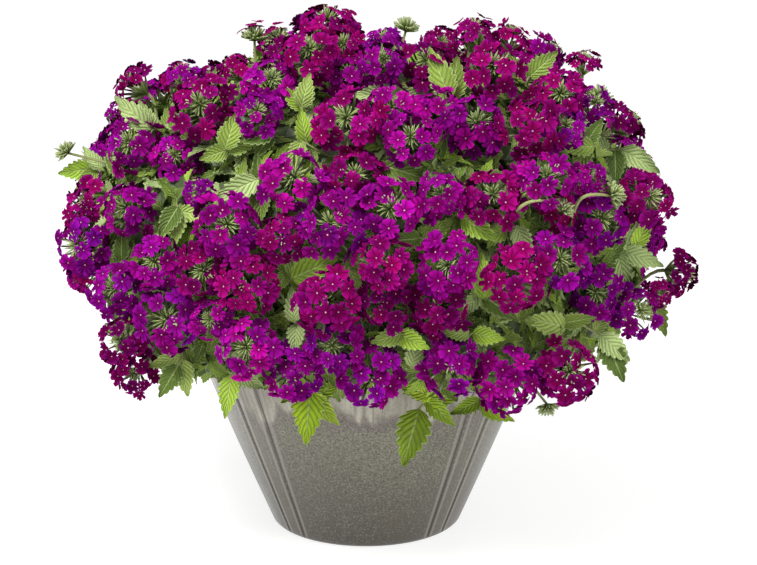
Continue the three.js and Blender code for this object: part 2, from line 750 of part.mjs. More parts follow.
/** Whether a part keeps clear of the pot, of all bunches and of the other shoots. */
function isClear(part, shoot, { pot, bunches, shoots }) {
  if (meet(part.fat, pot)) {
    return false;
  }
  if (bunches.some((bunch) => meet(part.fat, bunch))) {
    return false;
  }
  return !shoots.some((other) => other !== shoot && other.parts.some((there) => meet(part.fat, there.solid)));
}

/** The first clear part that the makers of a list give, if one of them does. */
function firstClear(makers, shoot, scene) {
  for (const make of makers) {
    const part = make();
    if (isClear(part, shoot, scene)) {
      return part;
    }
  }
  return undefined;
}

// ---------------------------------------------------------------- growing the shoots

const STEM_BENDS = [
  [0, 0], [0, 12], [8, 6], [-8, 6], [16, 10], [-16, 10], [24, 12], [-24, 12], [32, 16], [-32, 16],
  [12, -10], [-12, -10], [24, -14], [-24, -14], [40, 24], [-40, 24],
];
const BRANCH_BENDS = [ // how far back along the bunch's axis, aside and up a branch is bent
  [1, 0, 0], [1.3, 0, -10], [1, 10, 0], [1, -10, 0], [1.5, 14, -8], [1.5, -14, -8], [1.2, 0, 12],
];
const HEART_ROOM = 10; // round the heart of another shoot
const SPRIG_INSETS = [10, 18, 26, 36]; // how far sprigs may start inside the mound of the blooms
const TWIG_START = 0.3; // how far from the heart of a shoot towards its leaves a twig starts
const TWIG_BENDS = [0, 0.4, 0.8];
const LEAF_STEP = 4.5; // between two leaves of a sprig along its twig
const LEAF_ASIDES = [0, 14, -14, 28, -28, 42, -42];
const LEAF_TIPS = [0.35, 0.75, 0.05, 1.3]; // how far a leaf may tip out of the mound
const LEAF_SIZES = [1, 0.82];
const BACK_LEAF = { least: 29, most: 37 };

// The leafy cores of the shoots: how deep in the mound their hearts lie, how far they keep inside
// the mound of the blooms, how far from its heart a core may reach and how much of that is left out
// at random, and its room round other things.
const CORE = {
  heart: 38, inset: 14, least: 8, most: 115, rough: 0.1, step: 2,
  lowest: 158, aroundPot: 6, aroundStem: 3.8, behindBloom: 0.95,
};

/** The stem of a shoot, from its hole in the soil to its heart, past the hearts of the others. */
function growStem(shoot, scene) {
  const others = scene.shoots.filter((other) => other !== shoot);
  const paths = STEM_BENDS.map((bend) => stemPath(shoot, bend));
  const free = paths.filter((path) => (
    others.every((other) => distanceToPath(other.heart, path) > HEART_ROOM)));
  shoot.parts.push(firstClear(free.map((path) => () => stemPart(path, STEM_RADIUS, 4)), shoot, scene));
}

/** A branch from the heart of a shoot to each of its bunches, straight or bent in one place. */
function growBranches(shoot, scene) {
  for (const { place, axis } of shoot.ends) {
    const straight = () => stemPart([shoot.heart, place], BRANCH_RADIUS, 3);
    const bent = BRANCH_BENDS.map(([back, aside, rise]) => () => {
      const bend = place.clone().addScaledVector(axis, -back * PEDUNCLE);
      const across = axis.clone().cross(UP).normalize();
      bend.addScaledVector(across, aside).addScaledVector(UP, rise);
      return stemPart([shoot.heart, bend, place], BRANCH_RADIUS, 3);
    });
    shoot.parts.push(firstClear([straight, ...bent], shoot, scene));
  }
}

/** The least distance from a point to a path. */
function distanceToPath(point, path) {
  const nearest = new THREE.Vector3();
  const distances = path.slice(1).map((to, k) => {
    new THREE.Line3(path[k], to).closestPointToPoint(point, true, nearest);
    return nearest.distanceTo(point);
  });
  return Math.min(...distances);
}

/** Whether a point may lie in the leafy core of a shoot. */
function mayBeCore(point, shoot, scene) {
  const overPot = Math.hypot(point.x, point.y) < RIM_RADIUS + CORE.aroundPot;
  if (point.z < (overPot ? POT_HEIGHT + CORE.aroundPot : CORE.lowest) || moundValue(point, CORE.inset) > 0) {
    return false;
  }
  if (scene.blooms.some(({ place, radius }) => place.distanceTo(point) < CORE.behindBloom * radius)) {
    return false;
  }
  return scene.shoots.every((other) => {
    if (other === shoot) {
      return true;
    }
    const way = other.heart.clone().sub(shoot.heart);
    const across = point.clone().sub(shoot.heart).dot(way) / way.length();
    const stems = other.parts.map(({ path }) => distanceToPath(point, path));
    return across < way.length() / 2 - GAP && Math.min(...stems) > CORE.aroundStem;
  });
}

/**
 * The leafy core of a shoot: the room round its heart that nothing else needs, with a corner that
 * points straight out of the mound.
 */
function growCore(shoot, scene) {
  const ball = new THREE.IcosahedronGeometry(1, 0);
  const geometry = mergeVertices(ball.deleteAttribute('uv').deleteAttribute('normal'));
  const { position } = geometry.attributes;
  const ray = new THREE.Vector3();
  const corner = new THREE.Vector3().fromBufferAttribute(position, 0).normalize();
  const turn = new THREE.Quaternion().setFromUnitVectors(corner, moundNormal(shoot.target));
  for (let k = 0; k < position.count; k += 1) {
    ray.fromBufferAttribute(position, k).normalize().applyQuaternion(turn);
    const at = (reach) => shoot.heart.clone().addScaledVector(ray, reach);
    let reach = CORE.least;
    while (reach < CORE.most && mayBeCore(at(reach + CORE.step), shoot, scene)) {
      reach += CORE.step;
    }
    position.setXYZ(k, ...at(reach * (1 - CORE.rough * random())));
  }
  const others = scene.shoots.filter((other) => other !== shoot).flatMap((other) => other.parts);
  const room = [scene.potRoom, ...bunchCutters, ...others.map((part) => part.fat)];
  const solid = largestBody(cutClear(solidOf(geometry), room));
  shoot.parts.push({ path: [shoot.heart, shoot.heart], solid, fat: solid });
}

/** Every twig that could carry a sprig, the most likely ones first. */
function twigMakers(shoot, placeAt, out) {
  const makers = [];
  for (const bend of TWIG_BENDS) {
    for (const inset of SPRIG_INSETS) {
      makers.push(() => {
        const place = placeAt(inset);
        const start = shoot.heart.clone().lerp(place, TWIG_START);
        const under = place.clone().addScaledVector(out, -bend * start.distanceTo(place));
        return stemPart(bend ? arch(start, under, place, 2) : [start, place], TWIG_RADIUS, 3);
      });
    }
  }
  return makers;
}

/** Every leaf that could grow in one place of a sprig, the most likely ones first. */
function leafMakers(place, frame, angle, length) {
  const makers = [];
  for (const size of LEAF_SIZES) {
    for (const tip of LEAF_TIPS) {
      for (const aside of LEAF_ASIDES) {
        makers.push(() => {
          const direction = directionIn(frame, angle + aside, tip);
          return {
            solid: leafSolid(place, direction, frame.out, size * length, LEAF_THICKNESS),
            fat: leafSolid(place, direction, frame.out, size * length + 2 * ROOM, LEAF_THICKNESS + 3 * ROOM),
          };
        });
      }
    }
  }
  return makers;
}

/** The sprigs of a shoot: how to find their places, their frames and their leaves. */
function sprigPlans(shoot) {
  if (shoot.buds) {
    return shoot.sprigs.map(([x, y, ...leaves]) => {
      const scale = fromDrawing(x, y, 0).along / DRAWING.focal;
      return {
        placeAt: (inset) => fromDrawing(x, y, inset).place,
        frame: SHEET_FRAME,
        leaves: leaves.map(([angle, length]) => [angle, length * scale]),
      };
    });
  }
  return shoot.sprigs.map(([azimuth, height]) => {
    const surface = onMound(azimuth, height);
    const frame = moundFrame(surface);
    const start = 360 * random();
    const length = () => BACK_LEAF.least + (BACK_LEAF.most - BACK_LEAF.least) * random();
    return {
      placeAt: (inset) => surface.clone().addScaledVector(frame.out, -inset),
      frame,
      leaves: [0, 1, 2].map((k) => [start + 120 * k, length()]),
    };
  });
}

function growSprigs(shoot, scene) {
  for (const { placeAt, frame, leaves } of sprigPlans(shoot.plan)) {
    const twig = firstClear(twigMakers(shoot, placeAt, frame.out), shoot, scene);
    if (!twig) {
      continue;
    }
    shoot.parts.push(twig);
    const [before, end] = twig.path.slice(-2);
    const back = before.clone().sub(end).normalize();
    leaves.forEach(([angle, length], k) => {
      const place = end.clone().addScaledVector(back, TWIG_RADIUS + k * LEAF_STEP);
      const leaf = firstClear(leafMakers(place, frame, angle, length), shoot, scene);
      if (leaf) {
        shoot.parts.push(leaf);
      }
    });
  }
}

function growBuds(shoot, scene) {
  for (const [x, y, width, facing] of shoot.plan.buds ?? []) {
    const { place, along } = fromDrawing(x, y, 0);
    const radius = (width / 2) * (along / DRAWING.focal);
    const axis = directionIn(SHEET_FRAME, facing, 0.2);
    const head = { solid: budSolid(place, axis, radius), fat: budSolid(place, axis, radius + ROOM) };
    const foot = place.clone().addScaledVector(axis, -0.9 * radius);
    const twig = firstClear(twigMakers(shoot, () => foot, axis), shoot, scene);
    if (twig && isClear(head, shoot, scene)) {
      shoot.parts.push(twig, head);
    }
  }
}

// ---------------------------------------------------------------- assembly

const blooms = settle(planBlooms());
for (const bloom of blooms) {
  bloom.spin = degrees(72 * random());
}

const shoots = [...FRONT_SHOOTS, ...BACK_SHOOTS].map((plan) => {
  const bunches = plan.bunches.map((_, number) => (
    blooms.filter((bloom) => bloom.bunch === `${plan.name}_${number}`)));
  const ends = bunches.map(branchEnd);
  const target = meanOf(ends.map((end) => end.place));
  const heart = target.clone().addScaledVector(moundNormal(target), -CORE.heart);
  heart.z = Math.max(heart.z, POT_HEIGHT + CORE.heart / 2);
  return { plan, bunches, ends, target, heart, root: rootOf(target), parts: [] };
});

// A later bunch gives way where it would reach into an earlier one.
const bunchSolids = [];
const bunchCutters = [];
for (const bunch of shoots.flatMap((shoot) => shoot.bunches)) {
  bunchSolids.push(largestBody(cutClear(bunchSolid(bunch, 0), bunchCutters)));
  bunchCutters.push(bunchSolid(bunch, 2 * GAP));
}

const pot = makePot();
const roomHeight = POT_HEIGHT + CORE.aroundPot;
const potRoom = solidOf(new THREE.CylinderGeometry(
  RIM_RADIUS + 2 * CORE.aroundPot, FOOT_RADIUS + 2 * CORE.aroundPot, roomHeight, 24,
).rotateX(Math.PI / 2).translate(0, 0, roomHeight / 2));
const scene = { pot, potRoom, bunches: bunchSolids, shoots, blooms };
shoots.forEach((shoot) => growStem(shoot, scene));
shoots.forEach((shoot) => growBranches(shoot, scene));
shoots.forEach((shoot) => growCore(shoot, scene));
shoots.forEach((shoot) => growBuds(shoot, scene));
shoots.forEach((shoot) => growSprigs(shoot, scene));

const verbena = new THREE.Group();
verbena.add(meshOf('pot', pot, glazedStoneware));
verbena.add(meshOf('soil', makeSoil(shoots.map((shoot) => shoot.root)), pottingSoil));
for (const { plan, parts } of shoots) {
  const solid = wasm.Manifold.union(parts.map((part) => part.solid));
  verbena.add(meshOf(`${plan.name}_shoot`, largestBody(solid), leafGreen));
}
const bunchNames = shoots.flatMap(({ plan }) => (
  plan.bunches.map((_, number) => `${plan.name}_blooms_${number + 1}`)));
bunchNames.forEach((name, k) => verbena.add(meshOf(name, bunchSolids[k], petalPurple)));

export default verbena;
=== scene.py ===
# %% [markdown]
# # A potted verbena in full flower
#
# A bushy verbena stands in a glazed stoneware pot. Its shoots rise from the soil, arch outwards and
# carry domed heads of small, notched florets over toothed leaves. This lesson dresses a plain solid
# model of the plant with the real detail: first the plan of the heads is worked out again, then
# florets, leaves, stems and pot are modelled with bmesh operators, and each gets its own material.

import math

import bmesh
import bpy
import numpy as np
from mathutils import Matrix, Vector
from mathutils.bvhtree import BVHTree


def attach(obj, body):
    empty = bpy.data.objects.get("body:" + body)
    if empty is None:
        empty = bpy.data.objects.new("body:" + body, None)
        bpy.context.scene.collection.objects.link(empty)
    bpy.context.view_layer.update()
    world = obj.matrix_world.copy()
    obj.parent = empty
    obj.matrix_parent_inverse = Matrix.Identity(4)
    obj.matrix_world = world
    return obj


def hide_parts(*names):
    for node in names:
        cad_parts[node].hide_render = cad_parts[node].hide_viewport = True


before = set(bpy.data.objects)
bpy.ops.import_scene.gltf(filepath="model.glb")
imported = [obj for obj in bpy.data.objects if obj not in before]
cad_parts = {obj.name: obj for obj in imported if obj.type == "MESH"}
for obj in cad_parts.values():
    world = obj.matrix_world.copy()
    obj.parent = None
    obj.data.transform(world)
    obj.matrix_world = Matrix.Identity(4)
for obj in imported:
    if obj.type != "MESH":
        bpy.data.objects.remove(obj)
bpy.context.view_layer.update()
MM = 0.001
print(f"{len(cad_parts)} solids to dress")

# %% [markdown]
# ## The camera and the light
#
# The camera looks slightly down at the plant from a little over a metre away. The light is that of
# a white studio: a pale world from all around, one large soft lamp above on the left and a weaker
# one on the right, so that the heads keep their depth.

# %% Camera
TILT = math.radians(13)
EYE = Vector((10, -1352, 511))
SHEET_WIDTH, SHEET_HEIGHT, FOCAL = 757, 565, 1700  # the drawing and its distance, in its units
SENSOR = 36  # millimetres


def new_object(name, data):
    """An object that is put in the scene."""
    made = bpy.data.objects.new(name, data)
    bpy.context.scene.collection.objects.link(made)
    return made


def add_camera():
    data = bpy.data.cameras.new("camera")
    data.sensor_width = SENSOR
    data.lens = SENSOR * FOCAL / SHEET_WIDTH
    camera = new_object("camera", data)
    camera.location = EYE * MM
    camera.rotation_euler = (math.pi / 2 - TILT, 0, 0)
    bpy.context.scene.camera = camera
    print(f"lens {data.lens:.1f} mm, {camera.location.length:.2f} m away")


add_camera()

# %% Light
MIDDLE = (0, 0, 0.22)


def add_lamp(name, place, size, power):
    """A square soft lamp that shines at the middle of the plant."""
    data = bpy.data.lights.new(name, "AREA")
    data.size = size
    data.energy = power
    lamp = new_object(name, data)
    lamp.location = place
    lamp.rotation_euler = (Vector(MIDDLE) - Vector(place)).to_track_quat("-Z", "Y").to_euler()


def add_studio():
    world = bpy.data.worlds.new("studio")
    world.use_nodes = True
    tree = world.node_tree
    background = tree.nodes["Background"]
    background.inputs["Color"].default_value = (1, 1, 1, 1)
    path = tree.nodes.new("ShaderNodeLightPath")
    strength = tree.nodes.new("ShaderNodeMapRange")
    strength.inputs["To Min"].default_value = 0.50
    strength.inputs["To Max"].default_value = 1.05
    tree.links.new(path.outputs["Is Camera Ray"], strength.inputs["Value"])
    tree.links.new(strength.outputs[0], background.inputs["Strength"])
    bpy.context.scene.world = world
    bpy.context.scene.view_settings.view_transform = "Standard"
    add_lamp("key", (-0.7, -1.2, 2.0), 0.9, 72)
    add_lamp("fill", (1.5, -1.2, 0.9), 1.2, 12)
    print("a white world and two lamps")


add_studio()

# %% [markdown]
# ## Small helpers
#
# A finished piece is one object at the origin whose mesh holds its place. It rides on the plant's
# only body and stands for a solid of the model, which is hidden. A mesh that is used
# many times, such as a floret, is modelled once; copies of it are transformed and added to the
# bmesh of their piece, each with a tint of its own in a colour attribute.

# %% Pieces
STEM, PETAL = 1, 2  # the second and third material of a piece; 0 is the one of its own surface
UNMOVED = Matrix.Identity(4)


def finish_mesh(bm, name):
    """The mesh of a bmesh, which is freed."""
    mesh = bpy.data.meshes.new(name)
    bm.to_mesh(mesh)
    bm.free()
    return mesh


def finish_smooth(bm, name):
    """The mesh of a bmesh, with smooth faces."""
    for face in bm.faces:
        face.smooth = True
    return finish_mesh(bm, name)


def triangles_of(mesh):
    return sum(len(face.vertices) - 2 for face in mesh.polygons)


def add_piece(name, mesh, materials, node):
    """Puts a mesh in the scene as the piece that stands for a solid."""
    for material in materials:
        mesh.materials.append(material)
    piece = new_object(name, mesh)
    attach(piece, "root")
    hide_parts(node)


def add_copy(bm, shape, matrix, tint, material=0):
    """A copy of a shape, put in place and tinted, joins a piece. Its places come out in metres."""
    copy = shape.copy()
    copy.transform(Matrix.Scale(MM, 4) @ matrix)
    colours = copy.attributes.new("tint", "FLOAT_COLOR", "POINT")
    colours.data.foreach_set("color", [*tint, 1.0] * len(copy.vertices))
    if material:
        copy.polygons.foreach_set("material_index", [material] * len(copy.polygons))
    bm.from_mesh(copy)
    bpy.data.meshes.remove(copy)


def only(kind, items):
    """What is of one kind among the vertices, edges and faces that an operator returns."""
    return [item for item in items if isinstance(item, kind)]


def set_uv(bm, place_of):
    """Gives every corner of a bmesh the map place that a function finds for its vertex."""
    layer = bm.loops.layers.uv.new("shape")
    for face in bm.faces:
        for loop in face.loops:
            loop[layer].uv = place_of(loop.vert)


def standing(place, out, spin=0.0, size=1.0):
    """The matrix that stands a shape, made along +Z, at a place, along a way, turned and scaled."""
    turn = out.to_track_quat("Z", "Y").to_matrix().to_4x4()
    return Matrix.Translation(place) @ turn @ Matrix.Rotation(spin, 4, "Z") @ Matrix.Scale(size, 4)


def random_source(seed):
    """A seeded stream of even random numbers from 0 to 1."""
    state = seed
    whole = 0xFFFFFFFF

    def draw():
        nonlocal state
        state = (state + 0x6D2B79F5) & whole
        mixed = ((state ^ (state >> 15)) * (1 | state)) & whole
        mixed = ((mixed + (mixed ^ (mixed >> 7)) * (61 | mixed)) & whole) ^ mixed
        return (mixed ^ (mixed >> 14)) / 4294967296

    return draw


chance = random_source(7)  # the same stream as the solid model's, so that the heads agree
vary = random_source(11)


def between(low, high):
    """An even random number between two limits."""
    return low + (high - low) * vary()


print("helpers for pieces and two streams of random numbers are ready")

# %% [markdown]
# ## The planting plan
#
# Each shoot carries one or two bunches of heads. A head is written as its place and width on a
# front drawing of the plant, with the way that it faces where it is seen from its side, and one
# letter for its colour: w wine, c crimson, m magenta, v violet. The drawing is a perspective, so a
# place on it is a line of sight, and the head lies where that line meets the mound of the plant. A
# sprig is a place with the angle and length of each leaf. A bud is a place, a width and the way it
# faces; two of them lean over the heads in front, and the places that their stalks arch through
# follow.

# %% The plan


def front_shoot(*bunches, sprigs, buds=()):
    """One shoot of the plan: its bunches of heads, its sprigs and its heads in bud."""
    return {"bunches": bunches, "sprigs": sprigs, "buds": buds}


FRONT_SHOOTS = {
    "west_high": front_shoot(
        [("w", 136, 82, 44, 150), ("v", 114, 117, 30, 190), ("m", 131, 150, 56), ("m", 182, 160, 46)],
        sprigs=[
            (92, 168, (190, 34), (225, 30), (130, 28), (60, 28)), (150, 128, (138, 44), (112, 34)),
        ],
        buds=[(64, 150, 19, 140)],
    ),
    "west": front_shoot(
        [("v", 85, 247, 58), ("w", 93, 196, 44, 180), ("m", 132, 212, 56)],
        [("v", 118, 290, 54), ("m", 158, 262, 52), ("w", 205, 270, 54)],
        sprigs=[(178, 206, (240, 34), (268, 34), (350, 30)), (120, 262, (75, 30), (20, 26))],
    ),
    "west_low": front_shoot(
        [("w", 136, 372, 42), ("w", 122, 342, 46), ("v", 170, 318, 62), ("m", 212, 320, 42)],
        sprigs=[(178, 366, (240, 36), (282, 36), (200, 34), (345, 36), (40, 30))],
    ),
    "north_west": front_shoot(
        [("v", 182, 74, 36, 90), ("c", 203, 110, 64), ("c", 236, 68, 38, 120)],
        [("v", 258, 115, 44), ("m", 272, 84, 52), ("w", 280, 53, 42, 140), ("c", 308, 58, 54)],
        sprigs=[(224, 150, (70, 38), (15, 34), (200, 30)), (274, 132, (195, 36), (235, 30))],
        buds=[(254, 34, 22, 95), (276, 36, 22, 110)],
    ),
    "crown": front_shoot(
        [("c", 328, 27, 60, 90), ("c", 344, 50, 42), ("m", 350, 80, 50)],
        [("v", 385, 43, 40, 90), ("v", 382, 66, 46), ("w", 424, 68, 52), ("w", 440, 47, 38)],
        sprigs=[(300, 108, (75, 34), (140, 30), (290, 36)), (388, 93, (185, 34), (0, 36))],
        buds=[(407, 25, 22, 80)],
    ),
    "front_high": front_shoot(
        [("c", 350, 125, 64), ("m", 392, 113, 52), ("m", 412, 140, 52), ("m", 436, 112, 48)],
        [("c", 356, 178, 58), ("m", 388, 212, 60), ("c", 385, 262, 54)],
        sprigs=[
            (384, 165, (342, 42), (295, 28), (35, 34)), (300, 140, (250, 30), (100, 34), (40, 30)),
        ],
    ),
    "north_east": front_shoot(
        [
            ("c", 473, 32, 44, 100), ("c", 512, 38, 38, 80), ("v", 545, 53, 42, 40),
            ("c", 586, 64, 36, 75),
        ],
        [("c", 492, 72, 58), ("m", 477, 130, 62)],
        sprigs=[(449, 98, (112, 50), (82, 42), (205, 30)), (530, 76, (42, 36), (130, 34), (215, 34))],
    ),
    "east_high": front_shoot(
        [
            ("c", 528, 130, 60), ("v", 562, 132, 46), ("c", 556, 99, 56), ("v", 591, 108, 42),
            ("w", 627, 125, 44, 20),
        ],
        sprigs=[
            (596, 146, (185, 34), (240, 36), (55, 32)), (622, 150, (330, 42), (270, 34), (150, 28)),
        ],
        buds=[(600, 94, 24, 70)],
    ),
    "front_east": front_shoot(
        [("m", 441, 198, 48), ("c", 490, 200, 58), ("m", 545, 178, 56)],
        [("w", 384, 302, 52), ("w", 440, 305, 58), ("m", 449, 266, 56)],
        sprigs=[
            (462, 216, (325, 40), (275, 34), (205, 32)), (420, 238, (172, 32), (32, 34), (290, 32)),
            (518, 226, (278, 36), (310, 34), (200, 30)), (486, 300, (95, 42), (325, 40), (235, 30)),
        ],
        buds=[(565, 207, 21, 50, (512, 214), (528, 201), (548, 200))],
    ),
    "front_west": front_shoot(
        [("m", 292, 180, 62), ("v", 332, 226, 62), ("w", 282, 238, 48)],
        [("v", 199, 193, 30), ("m", 230, 228, 64), ("c", 247, 282, 58)],
        sprigs=[
            (258, 178, (205, 46), (95, 28), (270, 32)), (292, 280, (25, 50), (95, 34), (205, 28)),
            (350, 262, (350, 28), (300, 34)),
        ],
    ),
    "east": front_shoot(
        [("m", 588, 180, 34), ("v", 593, 221, 58), ("w", 646, 199, 54)],
        [("v", 590, 290, 54), ("v", 635, 316, 50), ("w", 660, 292, 28), ("w", 681, 270, 44, 0)],
        sprigs=[
            (636, 248, (65, 34), (110, 34), (340, 40), (285, 36)), (656, 300, (45, 32), (292, 38)),
        ],
        buds=[(616, 194, 23, 20, (574, 208), (582, 196), (598, 194))],
    ),
    "east_low": front_shoot(
        [("c", 517, 279, 64), ("v", 557, 260, 60)],
        sprigs=[
            (568, 328, (168, 42), (10, 32), (250, 30)), (606, 338, (292, 46), (318, 38), (70, 26)),
        ],
    ),
    "front_low": front_shoot(
        [("c", 326, 302, 62), ("v", 334, 345, 52), ("v", 370, 375, 64)],
        [("m", 250, 347, 58), ("v", 292, 372, 56)],
        sprigs=[
            (404, 334, (195, 32), (335, 34), (60, 24)), (294, 322, (95, 34), (265, 30)),
            (308, 402, (30, 36), (315, 40), (266, 54), (215, 34)), (230, 376, (262, 40), (330, 30)),
        ],
    ),
    "east_front": front_shoot(
        [("v", 447, 363, 60), ("m", 508, 383, 62), ("w", 569, 370, 60)],
        sprigs=[
            (418, 410, (254, 58), (20, 42), (318, 36), (160, 34)),
            (480, 406, (335, 36), (205, 32), (30, 26)), (470, 334, (150, 28), (350, 32)),
            (410, 368, (75, 36), (182, 30), (2, 32)),
        ],
        buds=[(548, 409, 19, 280)],
    ),
}

# Over the top and round the back each bunch is a ring of heads, (azimuth, height, how many).
BACK_SHOOTS = {
    "back_east": [(30, 196, 4), (16, 260, 5)],
    "back_north_east": [(68, 190, 3), (47, 292, 4)],
    "back": [(92, 266, 3), (82, 346, 4)],
    "back_north_west": [(124, 190, 3), (114, 296, 4)],
    "back_west": [(150, 196, 4), (164, 258, 5)],
    "top_east": [(42, 370, 4)],
    "top": [(112, 388, 3)],
    "top_west": [(140, 326, 4)],
}
print(f"{len(FRONT_SHOOTS)} shoots in front, {len(BACK_SHOOTS)} over the top and behind")

# %% [markdown]
# ## The mound
#
# Together the heads make a mound, wider than it is high and a little square, so it is written as a
# superellipsoid. Its value is below 0 inside and above 0 outside, and its slope is the way out.

# %% The mound
NEAREST, FARTHEST = 1050, 1500  # the mound's distances from the eye, in millimetres
ACROSS, DEEP, RISE, HANG, LEVEL, POWER = 238, 222, 195, 110, 215, 2.4
UP = Vector((0, 0, 1))
SIGHT = Vector((0, math.cos(TILT), -math.sin(TILT)))
SHEET_UP = Vector((0, math.sin(TILT), math.cos(TILT)))
SHEET_RIGHT = Vector((1, 0, 0))
SHEET_FRAME = (SHEET_RIGHT, SHEET_UP, -SIGHT)


def mound_value(point, inset=0.0):
    half = RISE if point.z > LEVEL else HANG
    high = (point.z - LEVEL) / (half - inset)
    terms = (point.x / (ACROSS - inset), point.y / (DEEP - inset), high)
    return sum(abs(term) ** POWER for term in terms) - 1


def mound_normal(point):
    here = mound_value(point)
    steps = (Vector((0.5, 0, 0)), Vector((0, 0.5, 0)), Vector((0, 0, 0.5)))
    return Vector([mound_value(point + step) - here for step in steps]).normalized()


def from_drawing(x, y, inset=0.0):
    """Where the line of sight through a place on the drawing meets the mound, the line, the way."""
    line = SIGHT * FOCAL + SHEET_RIGHT * (x - SHEET_WIDTH / 2) + SHEET_UP * (SHEET_HEIGHT / 2 - y)
    line.normalize()
    nearest, best = 0, math.inf
    for along in range(NEAREST, FARTHEST):
        value = mound_value(EYE + line * along, inset)
        if value < best:
            nearest, best = along, value
        if value < 0:
            break
    return EYE + line * nearest, line, nearest


def on_mound(azimuth, height):
    """The point of the mound at an azimuth in degrees and a height."""
    part = abs(height - LEVEL) / (RISE if height > LEVEL else HANG)
    x, y = math.cos(math.radians(azimuth)), math.sin(math.radians(azimuth))
    size = (abs(x / ACROSS) ** POWER + abs(y / DEEP) ** POWER) ** (1 / POWER)
    radius = (1 - part**POWER) ** (1 / POWER) / size
    return Vector((radius * x, radius * y, height))


def mound_frame(point):
    """Three ways at a point of the mound: sideways, upwards along it, and out of it."""
    out = mound_normal(point)
    right = UP.cross(out).normalized()
    return right, out.cross(right), out


def way_in(directions, angle, tip):
    """A way given as an angle in degrees on a frame's face, tipped out of the face."""
    right, up, out = directions
    turn = math.radians(angle)
    return (right * math.cos(turn) + up * math.sin(turn) + out * tip).normalized()


print(f"the mound is {2 * ACROSS} mm wide and {RISE + HANG} mm high")

# %% [markdown]
# ## Where the heads settle
#
# Heads that are drawn close together would grow through each other, so they are pushed apart, and
# the heads of a bunch are pulled together until they touch. Every head slides mostly along its line
# of sight, which keeps the front view of the plant as it was drawn.

# %% Place the heads
BACK_RADIUS = 24  # of a head over the top or behind
ROUNDS = 120  # of pushing heads apart


def plan_heads():
    """Every head with its bunch, place, radius, axis and colour letter, in the plan's order."""
    heads = []
    for name, shoot in FRONT_SHOOTS.items():
        for number, bunch in enumerate(shoot["bunches"]):
            for order, (colour, x, y, width, *facing) in enumerate(bunch):
                place, line, along = from_drawing(x, y)
                radius = width / 2 * along / FOCAL
                axis = mound_normal(place) * 0.55 - line * 0.65 + UP * 0.12
                if facing:
                    axis = way_in(SHEET_FRAME, facing[0], 0.3)
                    place = place - axis * 0.18 * radius
                sight = place - EYE
                heads.append({
                    "bunch": (name, number), "order": order, "place": place, "radius": radius,
                    "axis": axis.normalized(), "line": sight.normalized(), "along": sight.length,
                    "colour": colour, "side": bool(facing),
                })
    for name, bunches in BACK_SHOOTS.items():
        for number, (azimuth, height, blooming) in enumerate(bunches):
            directions = mound_frame(on_mound(azimuth, height))
            middle = on_mound(azimuth, height) - directions[2] * 13
            start = 360 * chance()
            ring = 0.9 * BACK_RADIUS / math.sin(math.pi / blooming)
            for order in range(blooming):
                radius = BACK_RADIUS * (0.92 + 0.16 * chance())
                place = middle + way_in(directions, start + 360 / blooming * order, 0) * ring
                heads.append({
                    "bunch": (name, number), "order": order, "place": place, "radius": radius,
                    "axis": mound_normal(place), "line": None, "home": place.copy(),
                    "colour": "wcmvmvcm"[int(8 * vary())], "side": False,
                })
    return heads


def settle(heads):
    """Moves heads apart, and the heads of a bunch together."""
    for _ in range(ROUNDS):
        for i, first in enumerate(heads):
            for second in heads[i + 1:]:
                way = second["place"] - first["place"]
                apart = way.length
                reach = first["radius"] + second["radius"]
                together = first["bunch"] == second["bunch"]
                least = 0.95 * reach if together else reach + 0.5
                linked = together and second["order"] == first["order"] + 1
                push = max(0.0, least - apart)
                if linked and apart > 0.98 * reach:
                    push = 0.98 * reach - apart
                if push:
                    way *= push / (2 * apart)
                    first["place"] -= way
                    second["place"] += way
        for head in heads:
            if head["line"]:
                seen = head["place"] - EYE
                along = seen.dot(head["line"])
                aside = seen - head["line"] * along
                head["place"] += head["line"] * 0.03 * (head["along"] - along) - aside * 0.35
            else:
                head["place"] = head["place"].lerp(head["home"], 0.05)
    return heads


heads = settle(plan_heads())
PLACES = np.array([head["place"] for head in heads])
RADII = np.array([head["radius"] for head in heads])
print(f"{len(heads)} heads, {2 * RADII.min():.0f} to {2 * RADII.max():.0f} mm wide")

# %% Where the shoots stand
SOIL_LEVEL = 160
HEART_DEPTH, LOWEST_HEART = 38, 199  # under the ends of the branches, and over the ground
WIDEST_ROOT, ROOT_SPAN = 112, 74  # the lower a shoot ends, the nearer to the rim it is rooted


def stalk_end(head):
    """The lowest point of a head, where its stalk meets it."""
    return head["place"] - head["axis"] * 0.75 * head["radius"]


def mean_of(points):
    return sum(points, Vector()) / len(points)


def branch_end(bunch):
    """The end of a branch: under the head that is nearest to the middle of its bunch."""
    ends = [stalk_end(head) for head in bunch]
    middle = mean_of(ends)
    nearest = min(range(len(ends)), key=lambda k: (ends[k] - middle).length)
    return ends[nearest], bunch[nearest]["axis"]


def plan_shoots():
    """For each shoot its bunches, the ends of its branches, its heart and its root."""
    shoots = {}
    for name in [*FRONT_SHOOTS, *BACK_SHOOTS]:
        own = [head for head in heads if head["bunch"][0] == name]
        numbers = sorted({head["bunch"][1] for head in own})
        bunches = [[head for head in own if head["bunch"][1] == number] for number in numbers]
        ends = [branch_end(bunch) for bunch in bunches]
        target = mean_of([place for place, _ in ends])
        heart = target - mound_normal(target) * HEART_DEPTH
        heart.z = max(heart.z, LOWEST_HEART)
        azimuth = math.atan2(target.y, target.x)
        reach = WIDEST_ROOT - ROOT_SPAN * min(1, max(0, (target.z - 150) / 200))
        root = Vector((reach * math.cos(azimuth), reach * math.sin(azimuth), SOIL_LEVEL))
        shoots[name] = {"bunches": bunches, "ends": ends, "heart": heart, "root": root}
    return shoots


